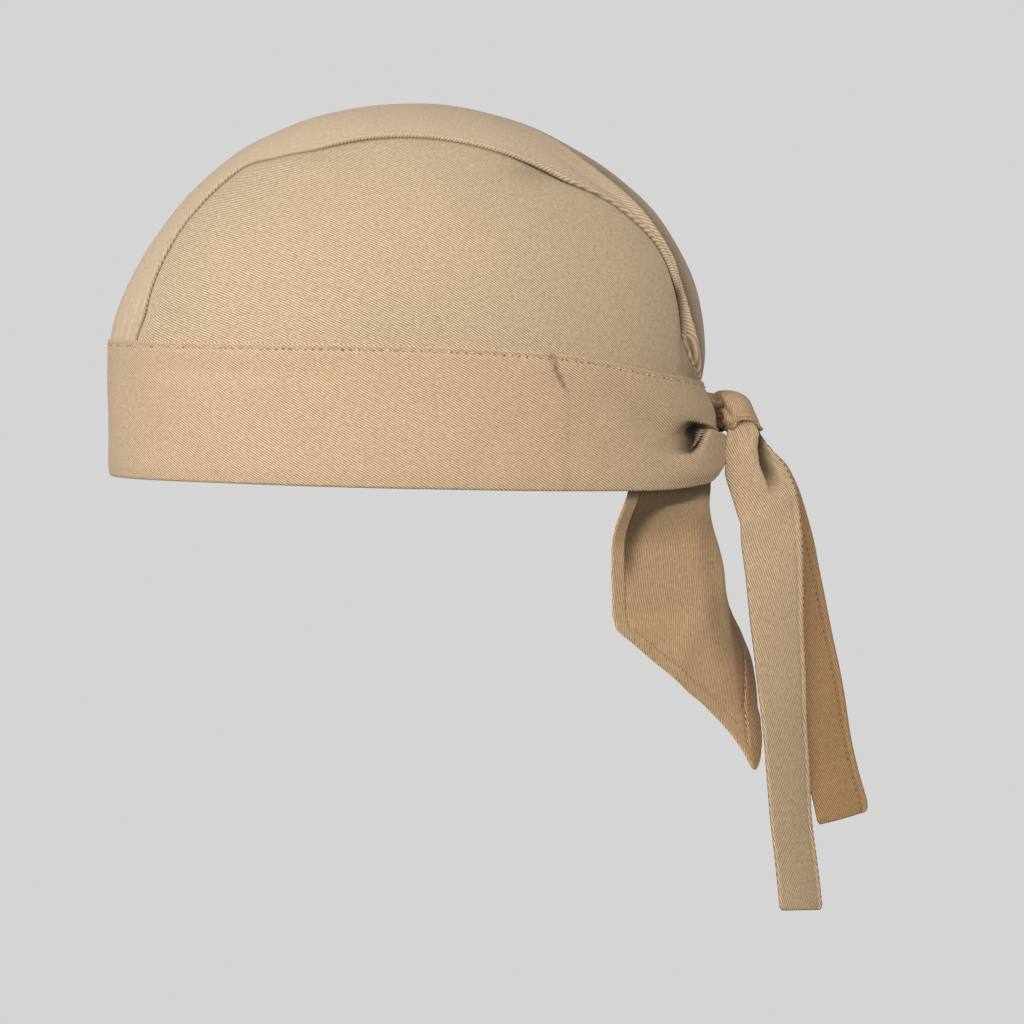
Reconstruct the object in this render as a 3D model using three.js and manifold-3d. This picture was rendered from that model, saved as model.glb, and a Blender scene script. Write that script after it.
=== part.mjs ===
// A pirate cap of cotton twill: three crown panels sewn into a folded headband, whose gathered
// ends meet in a knot at the back, with two tie tails and a neck flap hanging below.
//
// Millimetres, +Z up. -Y is the forehead, +Y the back of the head, +X the wearer's left.
// The origin is the centre of the head opening, level with the headband's lower edge.
// Angles are in degrees. A side angle runs over the crown from the forehead (0) by the top (90)
// to the back (180). A band angle runs round the head from the back (0) by the side (90) to the
// forehead (180).

import Module from "manifold-3d";
import * as THREE from "three";
import { mergeVertices } from "three/addons/utils/BufferGeometryUtils.js";

// The head form that the crown and the headband are stretched over
const HEAD = {
  centreY: 0.7,
  centreZ: 44.5,
  halfWidth: 77,
  frontLength: 99.6,
  backLength: 100,
  height: 83.7,
  lowerDepth: 60,
  planPower: 2.1,
  sidePower: 2,
  foreheadPower: 1.83,
  foreheadReach: 95,
};

// Cloth thicknesses and the gaps between the pieces
const CROWN_WALL = 1.2;
const BAND_WALL = 2;
const BAND_PROUD = 0.9;
const FLAP_WALL = 1.2;
const TAIL_WALL = 1.4;
const GAP = 0.3;
const FOOT = 0.5;

// The crown seam: how far from the middle plane it runs at each side angle
const SEAM = [
  { angle: 0, halfWidth: 35.5 },
  { angle: 8, halfWidth: 38 },
  { angle: 17, halfWidth: 36 },
  { angle: 32, halfWidth: 32 },
  { angle: 48, halfWidth: 29.5 },
  { angle: 57, halfWidth: 36 },
  { angle: 68, halfWidth: 40.2 },
  { angle: 90, halfWidth: 40.4 },
  { angle: 113, halfWidth: 41.4 },
  { angle: 131, halfWidth: 41 },
  { angle: 146, halfWidth: 34 },
  { angle: 158, halfWidth: 29.6 },
  { angle: 168, halfWidth: 31.4 },
  { angle: 176, halfWidth: 33 },
  { angle: 181, halfWidth: 28.6 },
  { angle: 186, halfWidth: 19 },
];

// The rolled welt along each edge of the centre panel
const WELT = { width: 1.9, height: 0.9, edge: 0.2 };

// The pleat at the back of the centre panel: its ridge, and the valley beside the seam
const PLEAT = [
  { angle: 118, ridgeAt: 20, ridge: 0, valley: 0 },
  { angle: 135, ridgeAt: 21.5, ridge: 0.8, valley: 0.5 },
  { angle: 150, ridgeAt: 20.5, ridge: 1.5, valley: 1.6 },
  { angle: 168, ridgeAt: 21.5, ridge: 2, valley: 3.2 },
  { angle: 178, ridgeAt: 19.5, ridge: 1.6, valley: 3.6 },
  { angle: 186, ridgeAt: 13, ridge: 0.8, valley: 1.2 },
];
const RIDGE_REACH = 3.4;
const VALLEY_REACH = 3.2;
const VALLEY_FROM_RIDGE = 0.62;

// Where the centre panel's columns lie from the middle to the seam, as shares of its half width:
// fine at the welt and the pleat, coarse over the middle
const CENTRE_SHARES = [0.22, 0.42, 0.54, 0.64, 0.72, 0.8, 0.88, 0.952, 0.976, 1];

// Puffs and dents of the side panels, by their place in the side view
const SIDE_DENTS = [
  { y: -34, z: 106, reachY: 13, reachZ: 4, lift: 0.9 },
  { y: 47, z: 103, reachY: 9, reachZ: 6, lift: -1.3 },
  { y: -79, z: 57, reachY: 6, reachZ: 3, lift: -0.8 },
];

// The headband's edges, and the gathered fold towards its ends
const BAND = [
  { angle: 0, top: 34.6, bottom: 4.2, foldAt: 18, foldDepth: 7, foldReach: 3.4, upper: 4.2, lower: 7 },
  { angle: 5, top: 35, bottom: 2.6, foldAt: 17.6, foldDepth: 8.5, foldReach: 3.8, upper: 3.2, lower: 6.2 },
  { angle: 13, top: 35.8, bottom: 1, foldAt: 16.6, foldDepth: 10, foldReach: 4.8, upper: 1.8, lower: 4.4 },
  { angle: 20, top: 36.4, bottom: 0, foldAt: 14.6, foldDepth: 7.5, foldReach: 5.4, upper: 1, lower: 2.6 },
  { angle: 29, top: 37.4, bottom: -0.6, foldAt: 14, foldDepth: 4.6, foldReach: 6, upper: 0.5, lower: 1.2 },
  { angle: 37, top: 38.9, bottom: -0.8, foldAt: 19, foldDepth: 2.9, foldReach: 6.4, upper: 0.2, lower: 0.5 },
  { angle: 46, top: 41, bottom: -0.7, foldAt: 28, foldDepth: 1.1, foldReach: 6.6, upper: 0, lower: 0 },
  { angle: 60, top: 44.2, bottom: -0.2, foldAt: 32, foldDepth: 0, foldReach: 7, upper: 0, lower: 0 },
  { angle: 90, top: 47.1, bottom: 0.8, foldAt: 32, foldDepth: 0, foldReach: 7, upper: 0, lower: 0 },
  { angle: 130, top: 48.1, bottom: 2.6, foldAt: 32, foldDepth: 0, foldReach: 7, upper: 0, lower: 0 },
  { angle: 180, top: 49.2, bottom: 4, foldAt: 32, foldDepth: 0, foldReach: 7, upper: 0, lower: 0 },
];
const BAND_END = 0.2;
const BAND_CROWDING = 1.25;
const TUCK = { depth: 1.3, reach: 7 };
const ROLL_BLEND = 4;
const GATHER = { from: 40, full: 10 };
const LOWER_FOLD = { reach: 3, atSides: 0.5, atBack: 2.4 };

// The knot: a wrap of cloth round the two tails, drawn together over the band's ends
const KNOT = { y: 111, z: 24, halfX: 8.6, halfY: 7.9, top: 7.7, bottom: 6.2, power: 2.8, lean: -0.2 };

// The tie tails: the middle line, the width, and how far the cloth is turned away to the back
const LONG_TAIL = [
  { z: 20, x: 2.6, y: 112, width: 10, turn: 0 },
  { z: 12, x: 3.2, y: 115.4, width: 15, turn: 6 },
  { z: 2, x: 3.4, y: 119.1, width: 21, turn: 8 },
  { z: -11, x: 3.4, y: 122.6, width: 22, turn: 18 },
  { z: -29, x: 3, y: 124.2, width: 22, turn: 26 },
  { z: -45, x: 2.6, y: 125.1, width: 22, turn: 33 },
  { z: -72, x: 2, y: 127.3, width: 22, turn: 43 },
  { z: -107, x: 1.4, y: 129.7, width: 22, turn: 48 },
  { z: -125, x: 1.2, y: 131.6, width: 22, turn: 50 },
  { z: -143, x: 1, y: 133.5, width: 22, turn: 47 },
];
const SHORT_TAIL = [
  { z: 20, x: -2.8, y: 112.6, width: 10, turn: 0 },
  { z: 12, x: -4.2, y: 116.6, width: 14, turn: 8 },
  { z: 2, x: -5.6, y: 121.7, width: 20, turn: 30 },
  { z: -10, x: -6.8, y: 126.1, width: 22, turn: 32 },
  { z: -20, x: -8, y: 129.1, width: 22, turn: 35 },
  { z: -33, x: -9.8, y: 131.7, width: 22, turn: 36 },
  { z: -53, x: -12.4, y: 136, width: 22, turn: 36 },
  { z: -72, x: -14.8, y: 139.9, width: 22, turn: 36 },
  { z: -91, x: -16.2, y: 143.3, width: 22, turn: 36 },
  { z: -111, x: -17.4, y: 148.7, width: 22, turn: 36 },
];
const TAIL_BOW = 0.8;

// The neck flap: its middle line, and how far each half is turned, below the band
const FLAP = {
  halfWidth: 48,
  shift: 12.5,
  top: 3.6,
  corner: -47,
  tip: -96,
  tipHalfWidth: 2.6,
  creaseRound: 6,
  inset: 1,
  hangFrom: 1,
  hangBy: -20,
};
const FLAP_HANG = [
  { z: 4, x: 8, y: 101.5, near: 36, far: -10 },
  { z: -4, x: 7.6, y: 102.5, near: 50, far: -22 },
  { z: -10, x: 7.2, y: 103.3, near: 50.8, far: -19 },
  { z: -16, x: 7, y: 104.2, near: 52.1, far: -24 },
  { z: -22, x: 6.8, y: 105, near: 53.9, far: -22 },
  { z: -30, x: 6.5, y: 106, near: 55.7, far: -15.1 },
  { z: -36, x: 6, y: 106.6, near: 56.2, far: -6.9 },
  { z: -42, x: 5.4, y: 107.2, near: 56.6, far: -0.3 },
  { z: -47, x: 5, y: 107.6, near: 54.5, far: 2.3 },
  { z: -53, x: 5, y: 108, near: 49.7, far: 6.2 },
  { z: -57.6, x: 5, y: 108.2, near: 44.6, far: 9.9 },
  { z: -63.2, x: 5, y: 108.3, near: 36.7, far: 14.6 },
  { z: -68.6, x: 5, y: 108.4, near: 26.6, far: 20.1 },
  { z: -74, x: 4.8, y: 108.8, near: 15.8, far: 26.6 },
  { z: -79.4, x: 4.4, y: 110.3, near: 6.7, far: 33.2 },
  { z: -84.8, x: 4, y: 112.6, near: 2, far: 37 },
  { z: -90.2, x: 3.8, y: 115.3, near: 2, far: 36.9 },
  { z: -97, x: 3.5, y: 118, near: 10, far: 30 },
];

// How finely the faceted cloth is divided
const CROWN_ROWS = 36;
const SIDE_ROWS = 9;
const BAND_COLUMNS = 74;
const BAND_ROWS = 9;
const FLAP_COLUMNS = 16;
const FLAP_ROWS = 14;
const TAIL_ROWS = 22;
const TAIL_COLUMNS = 4;

// Vertices nearer than this are one
const WELD = 1e-5;
const HALVINGS = 36;
const FAR_OUTSIDE = 200;
// Side angles well above and well below the band, at the forehead and at the back
const AT_FOREHEAD = { above: 40, below: -20 };
const AT_BACK = { above: 140, below: 200 };
const LOWEST_RIB_TURN = -0.6;
// A small step for slopes, and the angles that keep just off the back and the forehead
const NUDGE = 0.02;
const JUST_OFF_BACK = 0.001;
const JUST_OFF_FOREHEAD = 179.999;
const WALK_STEP = 0.5;

const wasm = await Module();
wasm.setup();

const radians = THREE.MathUtils.degToRad;
const mix = THREE.MathUtils.lerp;
const bell = (distance, reach) => Math.exp(-((distance / reach) ** 2));

function smooth(share) {
  const held = THREE.MathUtils.clamp(share, 0, 1);
  return held * held * (3 - 2 * held);
}

// The last value for which a test holds, on the way from one that passes to one that doesn't
function lastInside(inside, outside, holds) {
  let near = inside;
  let far = outside;
  for (let step = 0; step < HALVINGS; step += 1) {
    const middle = (near + far) / 2;
    if (holds(middle)) near = middle;
    else far = middle;
  }
  return near;
}

// The value of one column of a table at a place between its rows, on a curve without overshoot
function column(table, by, at, name) {
  const rising = table[0][by] < table[table.length - 1][by];
  const rows = rising ? table : [...table].reverse();
  const last = rows.length - 1;
  if (at <= rows[0][by]) return rows[0][name];
  if (at >= rows[last][by]) return rows[last][name];
  const below = rows.findLastIndex((row) => row[by] <= at);
  const slope = (k) => (rows[k + 1][name] - rows[k][name]) / (rows[k + 1][by] - rows[k][by]);
  const tangent = (k) => {
    if (k === 0) return slope(0);
    if (k === last) return slope(last - 1);
    const before = slope(k - 1);
    const after = slope(k);
    return before * after <= 0 ? 0 : (2 * before * after) / (before + after);
  };
  const step = rows[below + 1][by] - rows[below][by];
  const t = (at - rows[below][by]) / step;
  const start = rows[below][name];
  const end = rows[below + 1][name];
  const rise = 3 * t * t - 2 * t * t * t;
  const leave = t * (1 - t) * (1 - t) * step * tangent(below);
  const arrive = t * t * (1 - t) * step * tangent(below + 1);
  return start + (end - start) * rise + leave - arrive;
}

// How far out a point lies, with 1 on the head form's surface
function headLevel(point) {
  const dy = point.y - HEAD.centreY;
  const dz = point.z - HEAD.centreZ;
  const length = dy < 0 ? HEAD.frontLength : HEAD.backLength;
  const depth = dz < 0 ? HEAD.lowerDepth : HEAD.height;
  const forehead = smooth(-dy / HEAD.foreheadReach);
  const power = mix(HEAD.sidePower, HEAD.foreheadPower, forehead);
  const across = Math.abs(point.x / HEAD.halfWidth) ** HEAD.planPower;
  const along = Math.abs(dy / length) ** HEAD.planPower;
  const plan = (across + along) ** (1 / HEAD.planPower);
  return (plan ** power + Math.abs(dz / depth) ** power) ** (1 / power);
}

function headNormal(point) {
  const step = 0.01;
  const normal = new THREE.Vector3();
  for (const axis of ["x", "y", "z"]) {
    const ahead = point.clone();
    const behind = point.clone();
    ahead[axis] += step;
    behind[axis] -= step;
    normal[axis] = headLevel(ahead) - headLevel(behind);
  }
  return normal.normalize();
}

// The point where a line from inside the head form meets its surface
function onHead(start, direction) {
  const at = (length) => start.clone().addScaledVector(direction, length);
  return at(lastInside(0, FAR_OUTSIDE, (length) => headLevel(at(length)) < 1));
}

function crownPoint(angle, x) {
  const start = new THREE.Vector3(x, HEAD.centreY, HEAD.centreZ);
  const turned = radians(angle);
  return onHead(start, new THREE.Vector3(0, -Math.cos(turned), Math.sin(turned)));
}

const seamWidth = (angle) => column(SEAM, "angle", angle, "halfWidth");

// The band angle of a place on the head form, the same on both sides
function bandAngle(point) {
  const sine = Math.abs(point.x / HEAD.halfWidth) ** (HEAD.planPower / 2);
  const dy = (point.y - HEAD.centreY) / HEAD.backLength;
  const cosine = Math.sign(dy) * Math.abs(dy) ** (HEAD.planPower / 2);
  return THREE.MathUtils.radToDeg(Math.atan2(sine, cosine));
}

const bandTop = (point) => column(BAND, "angle", bandAngle(point), "top");

// The side angle at which a line along the crown, at a share of the seam's width, meets the band
function footAngle(share, range) {
  return lastInside(range.above, range.below, (angle) => {
    const point = crownPoint(angle, share * seamWidth(angle));
    return point.z > bandTop(point) + FOOT;
  });
}

const crownAngle = (share, along) => mix(footAngle(share, AT_FOREHEAD), footAngle(share, AT_BACK), along);

// A closed wall of cloth: a box whose front is bent to the outer face and whose back to the inner
function wall(columns, rows, faces) {
  const box = new THREE.BoxGeometry(1, 1, 1, columns, rows, 1);
  box.deleteAttribute("normal");
  box.deleteAttribute("uv");
  const places = box.attributes.position;
  for (let index = 0; index < places.count; index += 1) {
    const across = Math.round((places.getX(index) + 0.5) * columns);
    const up = Math.round((places.getY(index) + 0.5) * rows);
    const point = faces(across, up, places.getZ(index) > 0);
    places.setXYZ(index, point.x, point.y, point.z);
  }
  return facingOut(mergeVertices(box, WELD));
}

function volume(geometry) {
  const places = geometry.attributes.position;
  const corner = (k) => new THREE.Vector3().fromBufferAttribute(places, geometry.index.getX(k));
  let sum = 0;
  for (let k = 0; k < geometry.index.count; k += 3) sum += corner(k).dot(corner(k + 1).cross(corner(k + 2)));
  return sum / 6;
}

function facingOut(geometry) {
  if (volume(geometry) > 0) return geometry;
  const order = geometry.index;
  for (let k = 0; k < order.count; k += 3) {
    const second = order.getX(k + 1);
    order.setX(k + 1, order.getX(k + 2));
    order.setX(k + 2, second);
  }
  return geometry;
}

function solidOf(geometry) {
  const bare = geometry.clone();
  bare.deleteAttribute("normal");
  bare.deleteAttribute("uv");
  const merged = mergeVertices(bare, WELD);
  const vertProperties = new Float32Array(merged.attributes.position.array);
  const triVerts = new Uint32Array(merged.index.array);
  return new wasm.Manifold(new wasm.Mesh({ numProp: 3, vertProperties, triVerts }));
}

function geometryOf(solid) {
  const mesh = solid.getMesh();
  const geometry = new THREE.BufferGeometry();
  geometry.setAttribute("position", new THREE.BufferAttribute(mesh.vertProperties, 3));
  geometry.setIndex(new THREE.BufferAttribute(mesh.triVerts, 1));
  return geometry;
}

function centreLift(angle, x) {
  const edge = seamWidth(angle);
  const inward = edge - Math.abs(x);
  const pleat = (name) => column(PLEAT, "angle", angle, name);
  const ridgeAt = pleat("ridgeAt");
  const valleyAt = mix(ridgeAt, edge, VALLEY_FROM_RIDGE);
  const ridge = pleat("ridge") * bell(Math.abs(x) - ridgeAt, RIDGE_REACH);
  const valley = pleat("valley") * bell(Math.abs(x) - valleyAt, VALLEY_REACH);
  const welt = weltLift(inward);
  return ridge - valley * smooth(inward / WELT.width / 2) + welt;
}

// The welt rises from the seam to its ridge and falls to the panel, by the distance from the seam
function weltLift(inward) {
  if (inward < WELT.width / 4) return WELT.edge;
  return inward < 0.9 * WELT.width ? WELT.height : 0;
}

function centrePanel() {
  const shares = [...CENTRE_SHARES.map((share) => -share).reverse(), 0, ...CENTRE_SHARES];
  return wall(shares.length - 1, CROWN_ROWS, (across, up, outer) => {
    const share = shares[across];
    const angle = crownAngle(Math.abs(share), up / CROWN_ROWS);
    const x = share * (seamWidth(angle) - GAP / 2);
    const point = crownPoint(angle, x);
    const lift = centreLift(angle, x) - (outer ? 0 : CROWN_WALL);
    return point.addScaledVector(headNormal(point), lift);
  });
}

function sideLift(point) {
  let lift = 0;
  for (const dent of SIDE_DENTS) {
    lift += dent.lift * bell(point.y - dent.y, dent.reachY) * bell(point.z - dent.z, dent.reachZ);
  }
  return lift;
}

// A side panel is made of ribs across the head, each from the band up to the seam
function sidePanel(side) {
  return wall(CROWN_ROWS, SIDE_ROWS, (across, up, outer) => {
    const angle = crownAngle(1, across / CROWN_ROWS);
    const seam = crownPoint(angle, seamWidth(angle) + GAP / 2);
    const rib = new THREE.Vector3(0, seam.y, HEAD.centreZ);
    const turn = Math.atan2(seam.z - rib.z, seam.x);
    const onRib = (at) => onHead(rib, new THREE.Vector3(Math.cos(at), 0, Math.sin(at)));
    const foot = lastInside(turn, LOWEST_RIB_TURN, (at) => onRib(at).z > bandTop(onRib(at)) + GAP);
    const point = onRib(mix(foot, turn, up / SIDE_ROWS));
    const lift = sideLift(point) - (outer ? 0 : CROWN_WALL);
    point.addScaledVector(headNormal(point), lift);
    point.x *= side;
    return point;
  });
}

// The oval of the head form at a band angle, and its outward direction
function oval(angle, side) {
  const turned = radians(angle);
  const power = 2 / HEAD.planPower;
  const sine = Math.sin(turned) ** power;
  const cosine = Math.sign(Math.cos(turned)) * Math.abs(Math.cos(turned)) ** power;
  const length = cosine < 0 ? HEAD.frontLength : HEAD.backLength;
  const point = new THREE.Vector3(side * HEAD.halfWidth * sine, HEAD.centreY + length * cosine, HEAD.centreZ);
  const out = headNormal(point).setZ(0).normalize();
  return { point, out };
}

function bandOffset(angle, z) {
  const row = (name) => column(BAND, "angle", angle, name);
  const top = row("top");
  const bottom = row("bottom");
  const foldAt = row("foldAt");
  const above = smooth((z - foldAt) / ROLL_BLEND + 0.5);
  const roll = mix(row("lower"), row("upper"), above);
  const fold = row("foldDepth") * bell(z - foldAt, row("foldReach"));
  const back = smooth((GATHER.from - angle) / (GATHER.from - GATHER.full));
  const tuck = (roll + TUCK.depth * back) * smooth((z - top + TUCK.reach) / TUCK.reach);
  const low = bell(z - bottom, LOWER_FOLD.reach) * mix(LOWER_FOLD.atSides, LOWER_FOLD.atBack, back);
  return BAND_PROUD + roll - fold - tuck - low;
}

// The band runs as one strip from its end at the knot, by the wearer's left and the forehead,
// and back by the right
function bandPlace(across) {
  const share = (2 * across) / BAND_COLUMNS - 1;
  const side = share < 0 ? 1 : -1;
  const fromBack = (1 - Math.abs(share)) ** BAND_CROWDING;
  return { side, angle: mix(BAND_END, 180, fromBack) };
}

function headband() {
  const strip = wall(BAND_COLUMNS, BAND_ROWS, (across, up, outer) => {
    const { side, angle } = bandPlace(across);
    const { point, out } = oval(Math.min(angle, JUST_OFF_FOREHEAD), side);
    const edge = (name) => column(BAND, "angle", angle, name);
    const z = mix(edge("bottom"), edge("top"), up / BAND_ROWS);
    const lift = bandOffset(angle, z) - (outer ? 0 : BAND_WALL);
    return point.setZ(z).addScaledVector(out, lift);
  });
  return geometryOf(solidOf(strip).subtract(solidOf(knotForm(GAP))));
}

function knotForm(grown) {
  const ball = new THREE.SphereGeometry(1, 20, 14);
  const places = ball.attributes.position;
  for (let index = 0; index < places.count; index += 1) {
    const way = new THREE.Vector3().fromBufferAttribute(places, index);
    const sum = ["x", "y", "z"].reduce((total, axis) => total + Math.abs(way[axis]) ** KNOT.power, 0);
    way.divideScalar(sum ** (1 / KNOT.power));
    const height = (way.y > 0 ? KNOT.top : KNOT.bottom) + grown;
    const z = way.y * height;
    const y = way.z * (KNOT.halfY + grown) + z * KNOT.lean;
    places.setXYZ(index, way.x * (KNOT.halfX + grown), KNOT.y + y, KNOT.z + z);
  }
  ball.deleteAttribute("normal");
  ball.deleteAttribute("uv");
  return facingOut(mergeVertices(ball, WELD));
}

// A tie tail: a strip that hangs from the knot, bowed a little across its width
function tail(table) {
  const top = table[0].z;
  const end = table[table.length - 1].z;
  const middle = (z) => new THREE.Vector3(column(table, "z", z, "x"), column(table, "z", z, "y"), z);
  const strip = wall(TAIL_COLUMNS, TAIL_ROWS, (across, up, outer) => {
    const z = mix(end, top, up / TAIL_ROWS);
    const share = (2 * across) / TAIL_COLUMNS - 1;
    const turned = radians(column(table, "z", z, "turn"));
    const down = middle(Math.max(z - 1, end)).sub(middle(Math.min(z + 1, top))).normalize();
    const width = new THREE.Vector3(-Math.sin(turned), Math.cos(turned), 0);
    width.addScaledVector(down, -width.dot(down)).normalize();
    const facing = down.clone().cross(width).normalize();
    const bow = TAIL_BOW * (1 - share * share) - (outer ? 0 : TAIL_WALL);
    const half = column(table, "z", z, "width") / 2;
    return middle(z).addScaledVector(width, share * half).addScaledVector(facing, bow);
  });
  return geometryOf(solidOf(strip).subtract(solidOf(knotForm(GAP))));
}

// The plan place of the band's inner face at a length of arc from the back
function bandInside(arc, z) {
  const side = arc < 0 ? -1 : 1;
  let angle = JUST_OFF_BACK;
  let left = Math.abs(arc);
  let last = oval(angle, side).point;
  while (left > 0) {
    const next = oval(angle + WALK_STEP, side).point;
    const length = next.distanceTo(last);
    angle += WALK_STEP * Math.min(1, left / length);
    left -= length;
    last = next;
  }
  const { point, out } = oval(angle, side);
  const level = Math.max(z, column(BAND, "angle", angle, "bottom"));
  const inset = bandOffset(angle, level) - BAND_WALL - FLAP.inset;
  return point.addScaledVector(out, inset);
}

function flapHang(across, z) {
  const row = (name) => column(FLAP_HANG, "z", z, name);
  const rounded = Math.sqrt(across * across + FLAP.creaseRound ** 2) - FLAP.creaseRound;
  const near = across > 0 ? rounded : 0;
  const far = across < 0 ? rounded : 0;
  const nearTurn = radians(row("near"));
  const farTurn = radians(row("far"));
  const middle = (nearTurn + farTurn) / 2;
  const straight = across - near + far;
  const x = row("x") + near * Math.cos(nearTurn) - far * Math.cos(farTurn) + straight * Math.cos(middle);
  const y = row("y") - near * Math.sin(nearTurn) + far * Math.sin(farTurn) - straight * Math.sin(middle);
  return new THREE.Vector3(x, y, z);
}

function flapPoint(share, z) {
  const below = THREE.MathUtils.clamp((FLAP.corner - z) / (FLAP.corner - FLAP.tip), 0, 1);
  const half = mix(FLAP.halfWidth, FLAP.tipHalfWidth, below);
  const across = share * half;
  const held = bandInside(across + FLAP.shift, z).setZ(z);
  const hanging = smooth((FLAP.hangFrom - z) / (FLAP.hangFrom - FLAP.hangBy));
  return held.lerp(flapHang(across, z), hanging);
}

// The flap's levels: half of them below the corners and half above
function flapLevel(up) {
  const share = (2 * up) / FLAP_ROWS;
  return share < 1 ? mix(FLAP.tip, FLAP.corner, share) : mix(FLAP.corner, FLAP.top, share - 1);
}

function neckFlap() {
  return wall(FLAP_COLUMNS, FLAP_ROWS, (across, up, outer) => {
    const share = (2 * across) / FLAP_COLUMNS - 1;
    const z = flapLevel(up);
    const point = flapPoint(share, z);
    if (outer) return point;
    const sideways = flapPoint(share + NUDGE, z).sub(flapPoint(share - NUDGE, z));
    const upward = flapPoint(share, z + NUDGE).sub(flapPoint(share, z - NUDGE));
    const inward = sideways.cross(upward).normalize();
    return point.addScaledVector(inward, -FLAP_WALL * Math.sign(inward.y));
  });
}

function cloth(name, geometry, colour) {
  const material = new THREE.MeshStandardMaterial({ color: colour, roughness: 0.9, metalness: 0 });
  const mesh = new THREE.Mesh(geometry, material);
  mesh.name = name;
  return mesh;
}

const KHAKI = 0xcdb392;
const KHAKI_BAND = 0xd0b696;
const KHAKI_SHADE = 0xb79a78;

const cap = new THREE.Group();
cap.name = "pirate_cap";
cap.add(cloth("centre_panel", centrePanel(), KHAKI));
cap.add(cloth("side_panel_left", sidePanel(1), KHAKI));
cap.add(cloth("side_panel_right", sidePanel(-1), KHAKI));
cap.add(cloth("headband", headband(), KHAKI_BAND));
cap.add(cloth("knot", geometryOf(solidOf(knotForm(0))), KHAKI_SHADE));
cap.add(cloth("tie_tail_long", tail(LONG_TAIL), KHAKI));
cap.add(cloth("tie_tail_short", tail(SHORT_TAIL), KHAKI_SHADE));
cap.add(cloth("neck_flap", neckFlap(), KHAKI_SHADE));

export default cap;
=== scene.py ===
"""A pirate cap of khaki cotton twill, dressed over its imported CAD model.

Three crown panels are sewn into a folded headband, whose gathered ends meet in a knot at the
back, with two tie tails and a neck flap hanging below. Shapes are worked out in millimetres and
written to the meshes in metres. -Y is the forehead, +Y the back of the head, +X the wearer's
left, and +Z is up. Angles are in degrees: a side angle runs over the crown from the forehead (0)
by the top (90) to the back (180), a band angle runs round the head from the back (0) by the side
(90) to the forehead (180).
"""

from __future__ import annotations

import logging
import math
from dataclasses import dataclass, field
from enum import Enum
from typing import Callable

import bmesh
import bpy
import numpy as np
from mathutils import Matrix, Vector


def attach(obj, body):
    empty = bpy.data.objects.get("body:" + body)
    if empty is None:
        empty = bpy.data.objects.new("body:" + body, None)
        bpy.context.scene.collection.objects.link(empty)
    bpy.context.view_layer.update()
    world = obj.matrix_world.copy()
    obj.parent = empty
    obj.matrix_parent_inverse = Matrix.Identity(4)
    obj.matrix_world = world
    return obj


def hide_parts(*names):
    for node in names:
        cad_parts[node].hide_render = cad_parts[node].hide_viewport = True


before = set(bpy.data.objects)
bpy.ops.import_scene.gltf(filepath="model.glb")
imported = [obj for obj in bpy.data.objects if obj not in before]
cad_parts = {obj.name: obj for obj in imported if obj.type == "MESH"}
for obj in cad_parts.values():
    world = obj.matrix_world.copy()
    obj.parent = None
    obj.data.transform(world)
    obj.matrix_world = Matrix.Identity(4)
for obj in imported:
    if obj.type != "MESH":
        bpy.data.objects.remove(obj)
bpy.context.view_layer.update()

Array = np.ndarray
Place = Callable[[Array, Array, Array], Array]
Shading = Callable[[Array, Array, Array], Array]

LOG = logging.getLogger("pirate_cap")
MM = 0.001
BODY = "root"
FLAT_MAP = "flat"
# The vertex attribute that holds painted shade, from 0 to 1
SHADE = "shade"
HALVINGS = 34
WELD = 2e-6
LEVEL_STEP = 0.01


class Slot(Enum):
    """The record's material slots."""

    CROWN = "crown_twill"
    BAND = "band_twill"
    TIE = "tie_twill"
    FLAP = "flap_twill"


class Side(Enum):
    """The two sides of the cap, as the sign of X."""

    LEFT = 1
    RIGHT = -1


# ---- sums that the shapes share


def smooth(share: Array) -> Array:
    """A soft step from 0 to 1, level at both ends."""
    held = np.clip(share, 0.0, 1.0)
    return held * held * (3 - 2 * held)


def bell(distance: Array, reach: Array | float) -> Array:
    """A bump of height 1 that fades over the reach."""
    return np.exp(-((distance / reach) ** 2))


def mix(start: Array | float, end: Array | float, share: Array | float) -> Array:
    """The value at a share of the way from start to end."""
    return start + (end - start) * share


def unit(vectors: Array) -> Array:
    """The vectors at length 1."""
    return vectors / np.maximum(np.linalg.norm(vectors, axis=-1, keepdims=True), 1e-12)


def stack(*parts: Array | float) -> Array:
    """Points from their x, y and z parts, each an array or one number."""
    return np.stack(np.broadcast_arrays(*parts), axis=-1).astype(float)


def last_inside(inside: Array, outside: Array, holds: Callable[[Array], Array]) -> Array:
    """Finds where a test stops holding.

    Args:
        inside: Values at which the test holds.
        outside: Values at which it doesn't.
        holds: The test, for an array of values.

    Returns:
        The last values for which it holds, on the way from inside to outside.
    """
    near = np.array(inside, float)
    far = np.array(outside, float)
    for _ in range(HALVINGS):
        middle = (near + far) / 2
        passed = holds(middle)
        near = np.where(passed, middle, near)
        far = np.where(passed, far, middle)
    return near


@dataclass(frozen=True)
class Profile:
    """A value that changes along an angle or a height, on a curve without overshoot."""

    at: tuple[float, ...]
    value: tuple[float, ...]

    def __call__(self, where: Array | float) -> Array:
        """Reads the curve.

        Args:
            where: Places along it. The value stays level past the ends.

        Returns:
            The value at each place.
        """
        at, value = np.array(self.at, float), np.array(self.value, float)
        slope = np.diff(value) / np.diff(at)
        before, after = slope[:-1], slope[1:]
        same = before * after > 0
        total = np.where(same, before + after, 1.0)
        inner = np.where(same, 2 * before * after / total, 0.0)
        tangent = np.concatenate(([slope[0]], inner, [slope[-1]]))
        held = np.clip(where, at[0], at[-1])
        below = np.clip(np.searchsorted(at, held, side="right") - 1, 0, len(at) - 2)
        step = at[below + 1] - at[below]
        t = (held - at[below]) / step
        rise = 3 * t**2 - 2 * t**3
        leave = t * (1 - t) ** 2 * step * tangent[below]
        arrive = t**2 * (1 - t) * step * tangent[below + 1]
        return mix(value[below], value[below + 1], rise) + leave - arrive


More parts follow.
